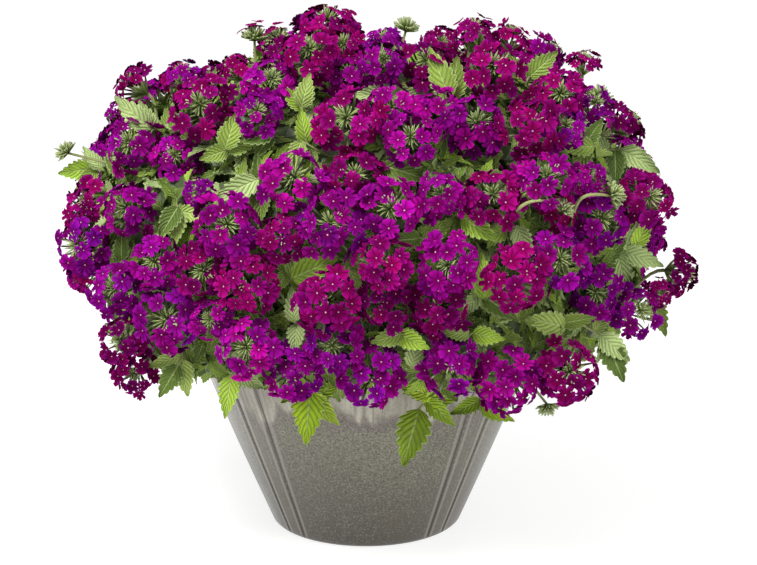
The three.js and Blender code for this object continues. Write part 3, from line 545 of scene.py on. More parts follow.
shoots = plan_shoots()
print(f"{len(shoots)} shoots, {sum(len(shoot['bunches']) for shoot in shoots.values())} bunches")

# %% [markdown]
# ## Materials: the helpers
#
# A material is a small tree of nodes. These helpers add a node, wire it and set its values, and the
# node group *mottle* gives every plant material the same soft unevenness, with its own scale and
# strength, as leaves, petals and stems are never one flat colour.

# %% Node helpers


def feed(tree, slot, source):
    """Wires an input to a socket, or sets it to a constant."""
    if isinstance(source, bpy.types.NodeSocket):
        tree.links.new(source, slot)
    else:
        slot.default_value = source


def node(tree, kind, *sources, **values):
    """Adds a node, sets its properties and feeds its inputs in order."""
    made = tree.nodes.new("ShaderNode" + kind)
    for key, value in values.items():
        setattr(made, key, value)
    for slot, source in zip([s for s in made.inputs if s.enabled], sources):
        feed(tree, slot, source)
    return made


def result(tree, kind, *sources, **values):
    """The first output of a node that is added."""
    return next(s for s in node(tree, kind, *sources, **values).outputs if s.enabled)


def math_node(tree, operation, *sources):
    return result(tree, "Math", *sources, operation=operation)


def product(tree, first, second):
    return math_node(tree, "MULTIPLY", first, second)


def distance(tree, value, place):
    """How far a value is from a place, on either side."""
    return math_node(tree, "ABSOLUTE", math_node(tree, "SUBTRACT", value, place))


def ramp(tree, value, low, high, start=0.0, end=1.0):
    """Maps a value from one range to another, held at both ends."""
    return result(tree, "MapRange", value, low, high, start, end)


def noise(tree, place, scale, detail):
    return result(tree, "TexNoise", place, scale, detail)


def mix(tree, share, first, second):
    """Blends two colours, each a socket or three numbers, by a share."""
    first, second = ((*c, 1) if isinstance(c, tuple) else c for c in (first, second))
    return result(tree, "Mix", share, first, second, data_type="RGBA")


def layered(tree, colour, *layers):
    """Lays colours over a colour one after the other, each by its own share."""
    for share, other in layers:
        colour = mix(tree, share, colour, other)
    return colour


def new_material(name, **values):
    """A material with its Principled shader, whose constant inputs are set here."""
    material = bpy.data.materials.new(name)
    material.use_nodes = True
    shader = material.node_tree.nodes["Principled BSDF"]
    for key, value in values.items():
        shader.inputs[key.replace("_", " ").title().replace("Ior", "IOR")].default_value = value
    return material, material.node_tree, shader


def bump(tree, shader, height, strength, depth):
    made = tree.nodes.new("ShaderNodeBump")
    for key, source in (("Strength", strength), ("Distance", depth), ("Height", height)):
        feed(tree, made.inputs[key], source)
    tree.links.new(made.outputs[0], shader.inputs["Normal"])


def mapped(tree):
    """The tint of a copy and its place on the shape's own map."""
    return result(tree, "Attribute", attribute_name="tint"), result(tree, "UVMap", uv_map="shape")


def make_mottle():
    """Mottle: a colour made a little lighter and darker in soft blotches of a given scale."""
    group = bpy.data.node_groups.new("mottle", "ShaderNodeTree")
    ports = [
        ("Color", "INPUT", "Color"), ("Scale", "INPUT", "Float"), ("Strength", "INPUT", "Float"),
        ("Color", "OUTPUT", "Color"), ("Blotches", "OUTPUT", "Float"),
    ]
    for name, side, kind in ports:
        group.interface.new_socket(name=name, in_out=side, socket_type="NodeSocket" + kind)
    colour, scale, strength, *_ = group.nodes.new("NodeGroupInput").outputs
    end = group.nodes.new("NodeGroupOutput")
    blotches = noise(group, node(group, "TexCoord").outputs["Object"], scale, 3.0)
    swing = product(group, math_node(group, "SUBTRACT", blotches, 0.5), strength)
    light = math_node(group, "MULTIPLY_ADD", swing, 2.0, 1.0)
    feed(group, end.inputs["Color"], result(group, "VectorMath", colour, light, operation="SCALE"))
    feed(group, end.inputs["Blotches"], blotches)
    return group


MOTTLE = make_mottle()


def mottled(tree, colour, scale, strength):
    """A colour with blotches, and the blotches."""
    return tuple(node(tree, "Group", colour, scale, strength, node_tree=MOTTLE).outputs)


print("node helpers and the mottle group are ready")

# %% [markdown]
# ## Petals
#
# A verbena floret has a tiny pale eye and five petals. The material paints shade along the creases
# between the petals and in the throat, and fine pale streaks that run outwards, partly the petals'
# own streaks and partly painted sheen towards their edges. The floret's own map place gives the
# distance from the eye and the angle, from which the material works out all of that, over the tint of
# its head.

# %% Petal material


def make_petal_material():
    material, tree, shader = new_material("petals", roughness=0.65, specular_ior_level=0.0)
    tint, uv = mapped(tree)
    middle = result(tree, "VectorMath", uv, (0.5, 0.5, 0), operation="SUBTRACT")
    reach = product(tree, result(tree, "VectorMath", middle, operation="LENGTH"), 2.0)
    x, y, _ = node(tree, "SeparateXYZ", middle).outputs
    angle = math_node(tree, "ARCTAN2", y, x)
    petal = math_node(tree, "MULTIPLY_ADD", angle, 5 / (2 * math.pi), 10.5)
    petal = math_node(tree, "FRACT", petal)
    crease = ramp(tree, product(tree, distance(tree, petal, 0.5), 2.0), 0.62, 1.0)
    streaks = noise(tree, result(tree, "CombineXYZ", product(tree, angle, 9.0), reach), 1.6, 2.0)
    edge = ramp(tree, reach, 0.55, 0.98, 0.0, 0.30)
    shade = product(tree, crease, ramp(tree, reach, 0.2, 1.0, 0.9, 0.5))
    colour = layered(
        tree, mottled(tree, tint, 60, 0.35)[0],
        # pale streaks towards the petal edges: partly the petals' own streaks, partly painted sheen
        (product(tree, edge, streaks), (0.66, 0.018, 0.50)),
        # painted shade along the creases between the petals, deeper towards the eye
        (shade, (0.028, 0.001, 0.016)),
        # painted shade in the throat of the floret
        (ramp(tree, reach, 0.6, 0.15, 0.0, 0.7), (0.085, 0.002, 0.030)),
        (ramp(tree, reach, 0.085, 0.045, 0.0, 0.70), (0.72, 0.46, 0.64)),
    )
    tree.links.new(colour, shader.inputs["Base Color"])
    bump(tree, shader, math_node(tree, "SUBTRACT", streaks, crease), 0.35, 0.0006)
    return material


PETALS = make_petal_material()
print("petals: tinted, creased and streaked, with a pale eye")

# %% [markdown]
# ## Leaves, stems and calyces
#
# A leaf is mid green, paler along the midrib and the side veins, and the blade is quilted between
# them, with painted shade in the furrows beside the veins. The map place runs along the leaf and
# across it. Stems and calyces are paler and smoother, and calyces turn paler towards their tips.

# %% Leaf and stem materials


def make_leaf_material():
    material, tree, shader = new_material("leaves", roughness=0.5, specular_ior_level=0.2)
    tint, uv = mapped(tree)
    along, across, _ = node(tree, "SeparateXYZ", uv).outputs
    aside = distance(tree, across, 0.5)
    midrib = ramp(tree, aside, 0.02, 0.05, 1.0, 0.0)
    slanted = math_node(tree, "SUBTRACT", along, product(tree, aside, 0.75))
    wave = math_node(tree, "FRACT", product(tree, slanted, 7.0))
    from_vein = product(tree, distance(tree, wave, 0.5), 2.0)
    vein = math_node(tree, "MAXIMUM", midrib, ramp(tree, from_vein, 0.86, 1.0, 0.0, 0.8))
    beside = product(tree, ramp(tree, from_vein, 0.50, 0.82), ramp(tree, from_vein, 1.0, 0.86))
    colour, blotches = mottled(tree, tint, 45, 0.6)
    colour = layered(
        tree, colour,
        # painted shade in the furrows beside the veins
        (product(tree, beside, 0.38), (0.040, 0.066, 0.009)),
        (product(tree, vein, 0.46), (0.46, 0.57, 0.22)),
        (ramp(tree, aside, 0.42, 0.5, 0.0, 0.6), (0.44, 0.54, 0.24)),
    )
    tree.links.new(colour, shader.inputs["Base Color"])
    tree.links.new(ramp(tree, blotches, 0.3, 0.7, 0.42, 0.62), shader.inputs["Roughness"])
    quilt = math_node(tree, "SUBTRACT", 1.0, math_node(tree, "POWER", from_vein, 2.0))
    bump(tree, shader, math_node(tree, "SUBTRACT", quilt, vein), 0.65, 0.0010)
    return material


def make_stem_material():
    material, tree, shader = new_material("stems", roughness=0.55)
    tint, uv = mapped(tree)
    colour, blotches = mottled(tree, tint, 120, 0.5)
    along = node(tree, "SeparateXYZ", uv).outputs[0]
    colour = mix(tree, ramp(tree, along, 0.6, 1.0, 0.0, 0.5), colour, (0.36, 0.40, 0.20))
    tree.links.new(colour, shader.inputs["Base Color"])
    bump(tree, shader, blotches, 0.3, 0.0006)
    return material


LEAVES = make_leaf_material()
STEMS = make_stem_material()
print("leaves and stems are ready")

# %% [markdown]
# ## A floret
#
# One floret is a circle of thirty edges, six for each petal, with its spokes cut once. Each petal
# is narrow at the eye, wide at the end and notched in the middle of its edge, so the six points
# of a petal get their own reach, and the petals bend and the folds between them sink.

# %% Model the floret
# reach and height of the six points, from one fold to the next
PETAL_EDGE = (0.54, 0.95, 1.0, 0.83, 1.0, 0.95)
PETAL_RISE = (-0.10, 0.0, 0.05, -0.01, 0.05, 0.0)


def petal_point(vertex):
    """Which of the six points of its petal a vertex of the floret is."""
    return round(math.degrees(math.atan2(vertex.co.y, vertex.co.x)) / 12) % 6


def make_floret(cup, twist):
    bm = bmesh.new()
    bmesh.ops.create_circle(bm, cap_ends=True, cap_tris=True, segments=30, radius=1.0)
    for vertex in bm.verts:
        if vertex.co.length > 0.5:
            vertex.co *= PETAL_EDGE[petal_point(vertex)]
    spokes = [edge for edge in bm.edges if min(v.co.length for v in edge.verts) < 0.01]
    bmesh.ops.subdivide_edges(bm, edges=spokes, cuts=1)
    set_uv(bm, lambda vertex: (0.5 + vertex.co.x / 2, 0.5 + vertex.co.y / 2))
    for vertex in bm.verts:
        reach = vertex.co.length
        if reach > 0.01:
            bend = math.sin(math.radians(twist) + 2 * math.atan2(vertex.co.y, vertex.co.x))
            vertex.co.z = cup * reach**2 + PETAL_RISE[petal_point(vertex)] + 0.08 * bend * reach**2
        else:
            vertex.co.z = -0.14
    return finish_smooth(bm, "floret")


CUPS_AND_TWISTS = ((-0.16, 0), (0.05, 40), (-0.30, 80), (0.16, 120))
FLORETS = [make_floret(cup, twist) for cup, twist in CUPS_AND_TWISTS]
print(f"{len(FLORETS)} florets of {len(FLORETS[0].polygons)} faces")

# %% [markdown]
# ## Hairs
#
# All green parts of a verbena bear short, stiff, pale hairs. Each one is a cone of three sides, too
# thin to count from a step away. They belong to the shapes that are copied, so they cost little.

# %% Model a hair


def add_hair(bm, root, out, length, thickness):
    """A fine hair joins a shape, rooted a little below its surface."""
    made = bmesh.ops.create_cone(
        bm, cap_ends=True, segments=3, radius1=thickness, radius2=0.0, depth=length
    )
    out = out.normalized()
    bmesh.ops.transform(bm, matrix=standing(root + out * 0.4 * length, out), verts=made["verts"])


GOLDEN_ANGLE = math.pi * (3 - math.sqrt(5))  # spreads any number of things evenly round a stem
print("hairs are ready")

# %% [markdown]
# ## Calyces and tubes
#
# Behind its petals a floret has a slim green calyx that widens a little. In the middle of a head
# the youngest ones stand close together, curved inwards, before they open. They are cones of five
# sides, bent once.

# %% Model the calyx


def make_calyx(foot, belly, tip, bend, hairs=0):
    """A slim cone one unit long, widest at two thirds, with hairs on its upper part."""
    bm = bmesh.new()
    bmesh.ops.create_cone(bm, cap_ends=True, segments=5, radius1=foot, radius2=tip, depth=1.0)
    bmesh.ops.translate(bm, verts=bm.verts, vec=(0, 0, 0.5))
    sides = [edge for edge in bm.edges if abs(edge.verts[0].co.z - edge.verts[1].co.z) > 0.5]
    cut = bmesh.ops.subdivide_edges(bm, edges=sides, cuts=1)["geom_inner"]
    ring = only(bmesh.types.BMVert, cut)
    swell = 2 * belly / (foot + tip)
    bmesh.ops.scale(bm, vec=(swell, swell, 1), verts=ring)
    bmesh.ops.translate(bm, verts=ring, vec=(0, 0, 0.16))
    for vertex in bm.verts:
        vertex.co.x += bend * vertex.co.z**2
    for k in range(hairs):
        height = 0.50 + 0.45 * (k + 0.5) / hairs
        out = Vector((math.cos(GOLDEN_ANGLE * k), math.sin(GOLDEN_ANGLE * k), 0))
        root = out * 0.8 * belly + Vector((bend * height**2, 0, height))
        add_hair(bm, root, out + UP * 0.7, 0.13, 0.006)
    set_uv(bm, lambda vertex: (vertex.co.z, 0.5))
    return finish_smooth(bm, "calyx")


CALYX = make_calyx(0.020, 0.042, 0.028, 0.0)
STOUT_CALYX = make_calyx(0.040, 0.090, 0.065, 0.0, hairs=4)
BUDS = [make_calyx(0.035, 0.056, 0.020, bend, hairs=3) for bend in (0.05, 0.20)]
SHORT_BUD = make_calyx(0.035, 0.075, 0.050, 0.10, hairs=7)
print(f"calyx: {len(CALYX.polygons)} faces")

# %% [markdown]
# ## Stems
#
# Stems are swept tubes: a circle is extruded from point to point along an arch. They have six sides
# and twigs have five, which shows as round at this size, and they thin out towards their end.

# %% Sweep a tube


def arch(start, towards, end, steps):
    """Points along an arch from start to end that leaves towards a third point."""
    points = []
    for step in range(steps + 1):
        t = step / steps
        points.append(start * (1 - t) ** 2 + towards * 2 * t * (1 - t) + end * t * t)
    return points


HAIR_LENGTH, HAIR_THICKNESS, HAIR_SPACING = 1.4, 0.06, 1.8


def add_stem_hairs(bm, path, radius):
    """Hairs round a stem, evenly spaced along its path."""
    count = 0
    for start, end in zip(path, path[1:]):
        way = end - start
        for step in range(int(way.length / HAIR_SPACING)):
            count += 1
            out = turned(way, 1.3, GOLDEN_ANGLE * count)
            root = start + way.normalized() * (step + 0.5) * HAIR_SPACING + out * 0.9 * radius
            add_hair(bm, root, out, HAIR_LENGTH, HAIR_THICKNESS)


def make_tube(path, thick, thin, sides):
    """A hairy tube through points in millimetres whose radius goes from thick to thin."""
    bm = bmesh.new()
    ring = bmesh.ops.create_circle(bm, cap_ends=True, segments=sides, radius=1.0)["verts"]
    edges = bm.edges[:]
    before = UNMOVED
    for step, point in enumerate(path):
        ahead = path[min(step + 1, len(path) - 1)] - path[max(step - 1, 0)]
        radius = thick + (thin - thick) * step / (len(path) - 1)
        here = standing(point, ahead.normalized(), 0, radius)
        if step:
            grown = bmesh.ops.extrude_edge_only(bm, edges=edges)["geom"]
            ring, edges = only(bmesh.types.BMVert, grown), only(bmesh.types.BMEdge, grown)
        bmesh.ops.transform(bm, matrix=here @ before.inverted(), verts=ring)
        before = here
    bmesh.ops.contextual_create(bm, geom=edges)
    bmesh.ops.recalc_face_normals(bm, faces=bm.faces)
    add_stem_hairs(bm, path, (thick + thin) / 2)
    set_uv(bm, lambda _: (0.5, 0.5))
    return finish_smooth(bm, "tube")


def add_tube(bm, path, thick, thin, tint, sides=6):
    tube = make_tube(path, thick, thin, sides)
    add_copy(bm, tube, UNMOVED, tint, STEM)
    bpy.data.meshes.remove(tube)


print("tubes can be swept")

# %% [markdown]
# ## Heads
#
# A head is a dome. Its florets are spread over it by the golden angle, which fills a dome evenly,
# from a small green centre down to just under its rim. Each one is turned, tipped and lifted a
# little by chance, and its calyx leads from the heart of the head to its eye.

# %% Petal tints
TINTS = {
    "w": ((0.155, 0.0015, 0.062), (0.078, 0.0010, 0.050)),
    "c": ((0.225, 0.0018, 0.068), (0.140, 0.0013, 0.092)),
    "m": ((0.265, 0.0025, 0.168), (0.160, 0.0015, 0.152)),
    "v": ((0.205, 0.0025, 0.188), (0.114, 0.0015, 0.120)),
}
CALYX_TINT = (0.175, 0.225, 0.070)
STALK_TINT = (0.165, 0.180, 0.060)
FLORET_RADIUS = 7.7


def shaded(tint, low=0.82, high=1.18):
    light = between(low, high)
    return [light * part for part in tint]


def turned(out, tilt, azimuth):
    """The way that is tilted from another way by an angle, towards an azimuth, in radians."""
    basis = out.to_track_quat("Z", "Y").to_matrix()
    ring = Vector((math.cos(azimuth), math.sin(azimuth), 0)) * math.sin(tilt)
    return basis @ (ring + Vector((0, 0, math.cos(tilt))))


print(f"{len(TINTS)} tints of petals, each from a light to a dark one")

# %% Build the bunches
LAST_TILT, LAST_SIDE_TILT = math.radians(96), math.radians(80)
FILL = 1.12  # share of the dome that florets would cover if none overlapped
FLATNESS = 0.86
YOUNG_SHARE = 0.72  # of the heads seen from above, whose middle is still in bud
HEART_BUDS, LAST_BUDS, HEART_TILT = 46, 8, math.radians(82)


def add_floret(bm, spot, face, root, size, tint, shows_calyx):
    """A floret joins a head, with what leads to it from the head's root. In a head that is seen
    from its side, that is a stout calyx and a slim tube in the petals' colour that comes out."""
    shape = FLORETS[int(len(FLORETS) * vary())]
    add_copy(bm, shape, standing(spot, face, between(0, 2 * math.pi), size), tint)
    way = spot - root
    length = way.length - 0.25 * size
    light = shaded(CALYX_TINT, 0.4, 1.0)
    way.normalize()
    if shows_calyx:
        add_copy(bm, CALYX, standing(root, way, 0, length), [0.6 * part for part in tint])
        light = [1.6 * part for part in light]
        add_copy(bm, STOUT_CALYX, standing(root, way, 0, 0.68 * length), light, STEM)
    else:
        add_copy(bm, CALYX, standing(root, way, 0, length), light, STEM)


def add_head(bm, head, joint):
    """A head's florets, calyces, buds and stalk join the bmesh of its bunch."""
    place, radius = head["place"], 1.03 * head["radius"]
    axis = turned(head["axis"], between(0, 0.22), between(0, 2 * math.pi))
    light, dark = TINTS[head["colour"]]
    level = between(0.74, 1.12)
    young = head["side"] or vary() < YOUNG_SHARE
    open_tilt = math.radians(between(18, 27) if young else between(4, 9))
    last_tilt = LAST_SIDE_TILT if head["side"] else LAST_TILT
    root = place - axis * 0.5 * radius
    flatten = Matrix.Identity(3) - (1 - FLATNESS) * Matrix([axis * part for part in axis])
    zone = 2 * (math.cos(open_tilt) - math.cos(last_tilt)) * radius**2
    size = min(FLORET_RADIUS, 0.36 * radius)
    count = max(12, round(FILL * zone / size**2))
    start = between(0, 2 * math.pi)
    for k in range(count):
        share = (k + 0.5) / count
        tilt = math.acos(math.cos(open_tilt) + (math.cos(last_tilt) - math.cos(open_tilt)) * share)
        tilt += between(-0.09, 0.09)
        out = turned(axis, tilt, start + GOLDEN_ANGLE * k + between(-0.2, 0.2))
        spot = place + flatten @ (out * radius * between(0.84, 1.09))
        tip = Vector((between(-0.5, 0.5), between(-0.5, 0.5), between(-0.5, 0.5)))
        tint = [a + (b - a) * vary() for a, b in zip(light, dark)]
        tint = shaded(tint, 0.70 * level, 1.35 * level)
        face = (out + axis * 0.3 + tip).normalized()
        add_floret(bm, spot, face, root, size * between(0.84, 1.14), tint, head["side"])
    heart = place + axis * 0.40 * radius
    for k in range(HEART_BUDS if young else LAST_BUDS):
        out = turned(axis, HEART_TILT * math.sqrt((k + 0.3) / HEART_BUDS), start + GOLDEN_ANGLE * k)
        stand = standing(heart, out, between(0, 2 * math.pi), radius * between(0.36, 0.56))
        add_copy(bm, BUDS[k % 2], stand, shaded(CALYX_TINT, 0.75, 1.7), STEM)
    add_tube(bm, arch(root, root - axis * 14, joint, 6), 1.5, 1.2, shaded(STALK_TINT))


def build_bunch(name, number, bunch, end):
    bm = bmesh.new()
    place, axis = end
    joint = place - axis * 20
    for head in bunch:
        add_head(bm, head, joint)
    title = f"{name}_blooms_{number + 1}"
    mesh = finish_mesh(bm, title)
    add_piece(f"{title}_florets", mesh, [PETALS, STEMS], title)
    return triangles_of(mesh)


built = [
    build_bunch(name, number, *bunch_and_end)
    for name, shoot in shoots.items()
    for number, bunch_and_end in enumerate(zip(shoot["bunches"], shoot["ends"]))
]
print(f"{len(built)} bunches of florets, {sum(built)} triangles")

# %% [markdown]
# ## A leaf
#
# A verbena leaf is a pointed oval with coarse, blunt teeth. It starts as a grid of a few columns.
# Each row is narrowed to the outline. Two or three rows make a tooth: the first is drawn in, the
# others stand out and lean forwards. The two halves rise from the midrib and the tip droops.

# %% Model the leaf
def half_width(along):
    """Half of the blade's width at a share of its length, as a share of the widest place."""
    return max(0.0, math.sin(math.pi * along**0.72)) ** 0.85 * (1 - 0.25 * along)


ROUND_TOOTH = (0.84, 1.05, 1.10)
SMALL_TOOTH = (0.85, 1.13)


def make_leaf(rows, columns, tooth, width, fold, droop, curl):
    bm = bmesh.new()
    bmesh.ops.create_grid(bm, x_segments=rows, y_segments=columns, size=0.5)
    bmesh.ops.translate(bm, verts=bm.verts, vec=(0.5, 0, 0))
    set_uv(bm, lambda vertex: (vertex.co.x, 0.5 + vertex.co.y))
    for vertex in bm.verts:
        along, aside = vertex.co.x, 2 * vertex.co.y
        step = round(along * rows) % len(tooth) if 0 < along < 0.99 else 0
        edge = abs(aside) > 0.9
        reach = tooth[step] if edge else 1.0
        vertex.co.y = aside * max(0.012, 0.5 * width * half_width(along) * reach)
        if edge:
            vertex.co.x += 0.35 * step / rows
        vertex.co.z = fold * abs(vertex.co.y) - droop * along**2 + curl * aside * along * 0.1
        vertex.co.z += 0.02 * math.sin(5 * along + 2 * aside)
    if len(tooth) > 2:
        edge = [vertex for vertex in bm.verts if vertex.is_boundary and vertex.co.x > 0.1]
        for vertex in edge[::2]:
            out = Vector((0.5, math.copysign(1, vertex.co.y), 0.4))
            add_hair(bm, vertex.co.copy(), out, 0.045, 0.002)
    return finish_smooth(bm, "leaf")


# width, fold, droop and curl of each form
LARGE_FORMS = ((0.64, 0.35, 0.16, 0.0), (0.56, 0.5, 0.32, 0.7))
FORMS = (
    (0.48, 0.45, 0.14, 0.0), (0.42, 0.6, 0.34, 0.8),
    (0.56, 0.3, 0.06, -0.6), (0.36, 0.8, 0.45, 0.0),
)
LARGE_BLADES = [make_leaf(21, 4, ROUND_TOOTH, *form) for form in LARGE_FORMS]
BLADES = [make_leaf(10, 2, SMALL_TOOTH, *form) for form in FORMS]
for title, blades in (("large", LARGE_BLADES), ("small", BLADES)):
    print(f"{len(blades)} {title} leaves of {len(blades[0].polygons)} faces")

# %% [markdown]
# ## Leafy shoots
#
# The leaves of a bushy plant fill whatever room the heads leave. A first set stands on the plan's
# sprigs. For the rest, rays go out from the heart of each shoot until they meet its neighbour's
# room, a head or the outside of the mound; that gives a lobed hull for every shoot. Leaves are then
# strewn over the hulls, tipped outwards, and the hull itself stays inside in dark green as painted
# shade in the depth of the bush. Where no hull covers the heart of the bush, leaves grow on a core
# under the top shoot instead, and that core stays inside as painted shade as well.

# %% The hull of a shoot
POT_HEIGHT, RIM_RADIUS, FOOT_RADIUS = 180, 150, 78
LEAST_ROOM, LOWEST_LEAF = 8.0, 158
NAMES = list(shoots)
HEARTS = np.array([shoots[name]["heart"] for name in NAMES])


def mound_values(points, inset):
    half = np.where(points[:, 2] > LEVEL, RISE, HANG) - inset
    x, y, z = points.T
    terms = (x / (ACROSS - inset), y / (DEEP - inset), (z - LEVEL) / half)
    return sum(np.abs(term) ** POWER for term in terms) - 1


def room_along(own, ray):
    """How far from a shoot's heart leaves may grow along a ray."""
    reaches = np.arange(10, 190, 2.0)
    points = HEARTS[own] + reaches[:, None] * np.array(ray)
    over_pot = np.hypot(points[:, 0], points[:, 1]) < RIM_RADIUS + 6
    free = points[:, 2] > np.where(over_pot, POT_HEIGHT + 6, LOWEST_LEAF)
    free &= mound_values(points, 20) < 0
    apart = np.linalg.norm(points[:, None] - PLACES[None], axis=2)
    free &= (apart > 0.95 * RADII).all(axis=1)
    for other in range(len(HEARTS)):
        if other != own:
            way = HEARTS[other] - HEARTS[own]
            size = np.linalg.norm(way)
            free &= (points - HEARTS[own]) @ way / size < size / 2 - 0.3
    stop = len(free) if free.all() else int(np.argmin(free))
    return float(reaches[stop - 1]) if stop else LEAST_ROOM


def make_ball(subdivisions, place_along, smoothing=0.0):
    """A closed surface through the places that a function finds along rays from its middle."""
    bm = bmesh.new()
    bmesh.ops.create_icosphere(bm, subdivisions=subdivisions, radius=1.0)
    for vertex in bm.verts:
        vertex.co = place_along(vertex.co.normalized())
    if smoothing:
        axes = {f"use_axis_{axis}": True for axis in "xyz"}
        bmesh.ops.smooth_vert(bm, verts=bm.verts, factor=smoothing, **axes)
    bmesh.ops.recalc_face_normals(bm, faces=bm.faces)
    set_uv(bm, lambda _: (0.5, 0.5))
    bm.normal_update()
    return bm


def make_hull(own):
    heart = Vector(HEARTS[own])
    return make_ball(4, lambda ray: heart + ray * room_along(own, ray) * between(0.80, 0.96), 0.3)


def along_ray(ray, inset):
    """Where a ray from the middle of the mound meets its surface, shrunk by an inset."""
    halves = (ACROSS - inset, DEEP - inset, (RISE if ray.z > 0 else HANG) - inset)
    reach = sum(abs(part / half) ** POWER for part, half in zip(ray, halves)) ** (-1 / POWER)
    return Vector((0, 0, LEVEL)) + ray * reach


def make_core(inset):
    """The mound shrunk by an inset, flat over the pot: painted shade in the bush's heart between the
    hulls.
    """

    def place_along(ray):
        place = along_ray(ray, inset)
        place.z = max(place.z, POT_HEIGHT + 12)
        return place

    return make_ball(3, place_along)


HULLS = [make_hull(own) for own in range(len(NAMES))]
COVERS = [BVHTree.FromBMesh(hull) for hull in HULLS]
print(f"{len(HULLS)} hulls of {len(HULLS[0].faces)} faces")

# %% [markdown]
# ### Young heads
#
# Between its full heads a verbena always opens small new ones. They are tried at even places on the
# mound, over the top and round the back, and stay where nothing is near. Each belongs to the shoot
# with the nearest heart.

# %% Place the young heads
YOUNG_RADIUS, YOUNG_SINK, YOUNG_FLORETS = 12.5, 12, 12
TRIES, LEAST_GAP, LEAST_APART = 260, 13, 42


def is_hidden(point):
    """Whether a full head stands between a point and the eye."""
    line = (point - EYE).normalized()
    towards = PLACES - np.array(EYE)
    along = towards @ np.array(line)
    aside = np.linalg.norm(towards - along[:, None] * np.array(line), axis=1)
    return bool(((aside < 0.85 * RADII) & (along < (point - EYE).length - 10)).any())


def plan_young_heads():
    """Places and axes of young heads, each with the number of its shoot."""
    young = []
    for k in range(TRIES):
        rise = 1 - 1.25 * (k + 0.5) / TRIES
        flat = math.sqrt(1 - rise**2)
        ray = Vector((flat * math.cos(GOLDEN_ANGLE * k), flat * math.sin(GOLDEN_ANGLE * k), rise))
        place, out = along_ray(ray, YOUNG_SINK), mound_normal(along_ray(ray, 0))
        room = (np.linalg.norm(PLACES - np.array(place), axis=1) - RADII).min()
        alone = all((place - other).length > LEAST_APART for _, other, _ in young)
        behind = out.dot(SIGHT) > 0.25 or is_hidden(place + UP * YOUNG_RADIUS)
        if behind and place.z > POT_HEIGHT + 20 and room > LEAST_GAP and alone:
            own = int(np.linalg.norm(HEARTS - np.array(place), axis=1).argmin())
            young.append((own, place, out))
    return young


YOUNG_HEADS = plan_young_heads()
print(f"{len(YOUNG_HEADS)} young heads")

# %% Place a leaf
LEAF_TINTS = [
    (0.125, 0.192, 0.022), (0.195, 0.280, 0.044), (0.290, 0.385, 0.090), (0.080, 0.130, 0.019),
    (0.330, 0.425, 0.160), (0.158, 0.224, 0.036), (0.265, 0.400, 0.038), (0.105, 0.168, 0.024),
]
YOUNG_TINTS = [(0.290, 0.430, 0.018), (0.225, 0.335, 0.020), (0.350, 0.480, 0.034)]


def leaf_matrix(place, along, facing, size):
    """The matrix that grows a blade from a place, along a way, with its face to another."""
    side = facing.cross(along).normalized()
    turn = Matrix((along, side, along.cross(side))).transposed().to_4x4()
    return Matrix.Translation(place) @ turn @ Matrix.Scale(size, 4)


def is_free(point):
    """Whether a point lies outside of all heads and of the pot."""
    apart = np.linalg.norm(PLACES - np.array(point), axis=1)
    if (apart < 0.88 * RADII).any():
        return False
    wall = FOOT_RADIUS + (RIM_RADIUS - FOOT_RADIUS) * min(1, point.z / POT_HEIGHT)
    return point.z > POT_HEIGHT + 2 or math.hypot(point.x, point.y) > wall + 3


def has_room(root, along, size, middle):
    """Whether a leaf's tip and a place on the way to it are free."""
    return is_free(root + along * size) and is_free(root + along * size * middle)


def add_leaf(bm, place, along, facing, size, tint, blades):
    if abs(along.dot(facing)) > 0.97:
        facing = facing + Vector((0.3, 0.2, 0.1))
    add_copy(bm, blades[int(len(blades) * vary())], leaf_matrix(place, along, facing, size), tint)


print(f"{len(LEAF_TINTS) + len(YOUNG_TINTS)} tints of leaves")

# %% Strew leaves
LEAF_SPACING = 60.0  # square millimetres of hull for each leaf
OUTER_INSET = 62  # leaves grow no deeper in the mound
LEAF_TRIES, LARGE_TRIES = 8, 5


def is_covered(point, out):
    """Whether a hull lies over a point of the core."""
    return any(cover.ray_cast(point, out)[0] for cover in COVERS)


def strew_leaves(bm, hull, gaps_only):
    """Leaves over the outer faces of a hull, or only where no other hull covers it."""
    grown = 0
    for face in hull.faces:
        middle = face.calc_center_median()
        if mound_value(middle, OUTER_INSET) < 0 or face.normal.dot(mound_normal(middle)) < -0.1:
            continue
        wanted = face.calc_area() / LEAF_SPACING
        count = int(wanted) + (vary() < wanted % 1)
        corners = [vertex.co for vertex in face.verts]
        for _ in range(count):
            a, b = sorted((vary(), vary()))
            root = corners[0] * a + corners[1] * (b - a) + corners[2] * (1 - b) - face.normal * 3
            right, up, out = mound_frame(root)
            if gaps_only and is_covered(root, out):
                continue
            directions = (right, up, (out + face.normal).normalized())
            for attempt in range(LEAF_TRIES):
                along = way_in(directions, between(0, 360), between(0.25, 1.1))
                size = between(14, 26) if attempt < LARGE_TRIES else between(8, 13)
                if has_room(root, along, size, 0.55):
                    facing = (out + UP * 0.25 + SIGHT * -0.15).normalized()
                    tint = shaded(LEAF_TINTS[int(len(LEAF_TINTS) * vary())], 0.8, 1.2)
                    add_leaf(bm, root, along, facing, size, tint, BLADES)
                    grown += 1
                    break
    return grown


print(f"a leaf for every {LEAF_SPACING:.0f} square millimetres")

# %% Sprigs and small heads
SPRIG_INSET, LOW_ON_SHEET = 10, 385  # the lowest sprigs have young, bright leaves
OPENING = {(254, 34), (276, 36)}  # the bud heads whose first florets are open
BUD_CALYCES, BUD_TILT = 64, 82
YOUNG_TILT, YOUNG_SIZE, YOUNG_BUDS = math.radians(84), 6.3, 6


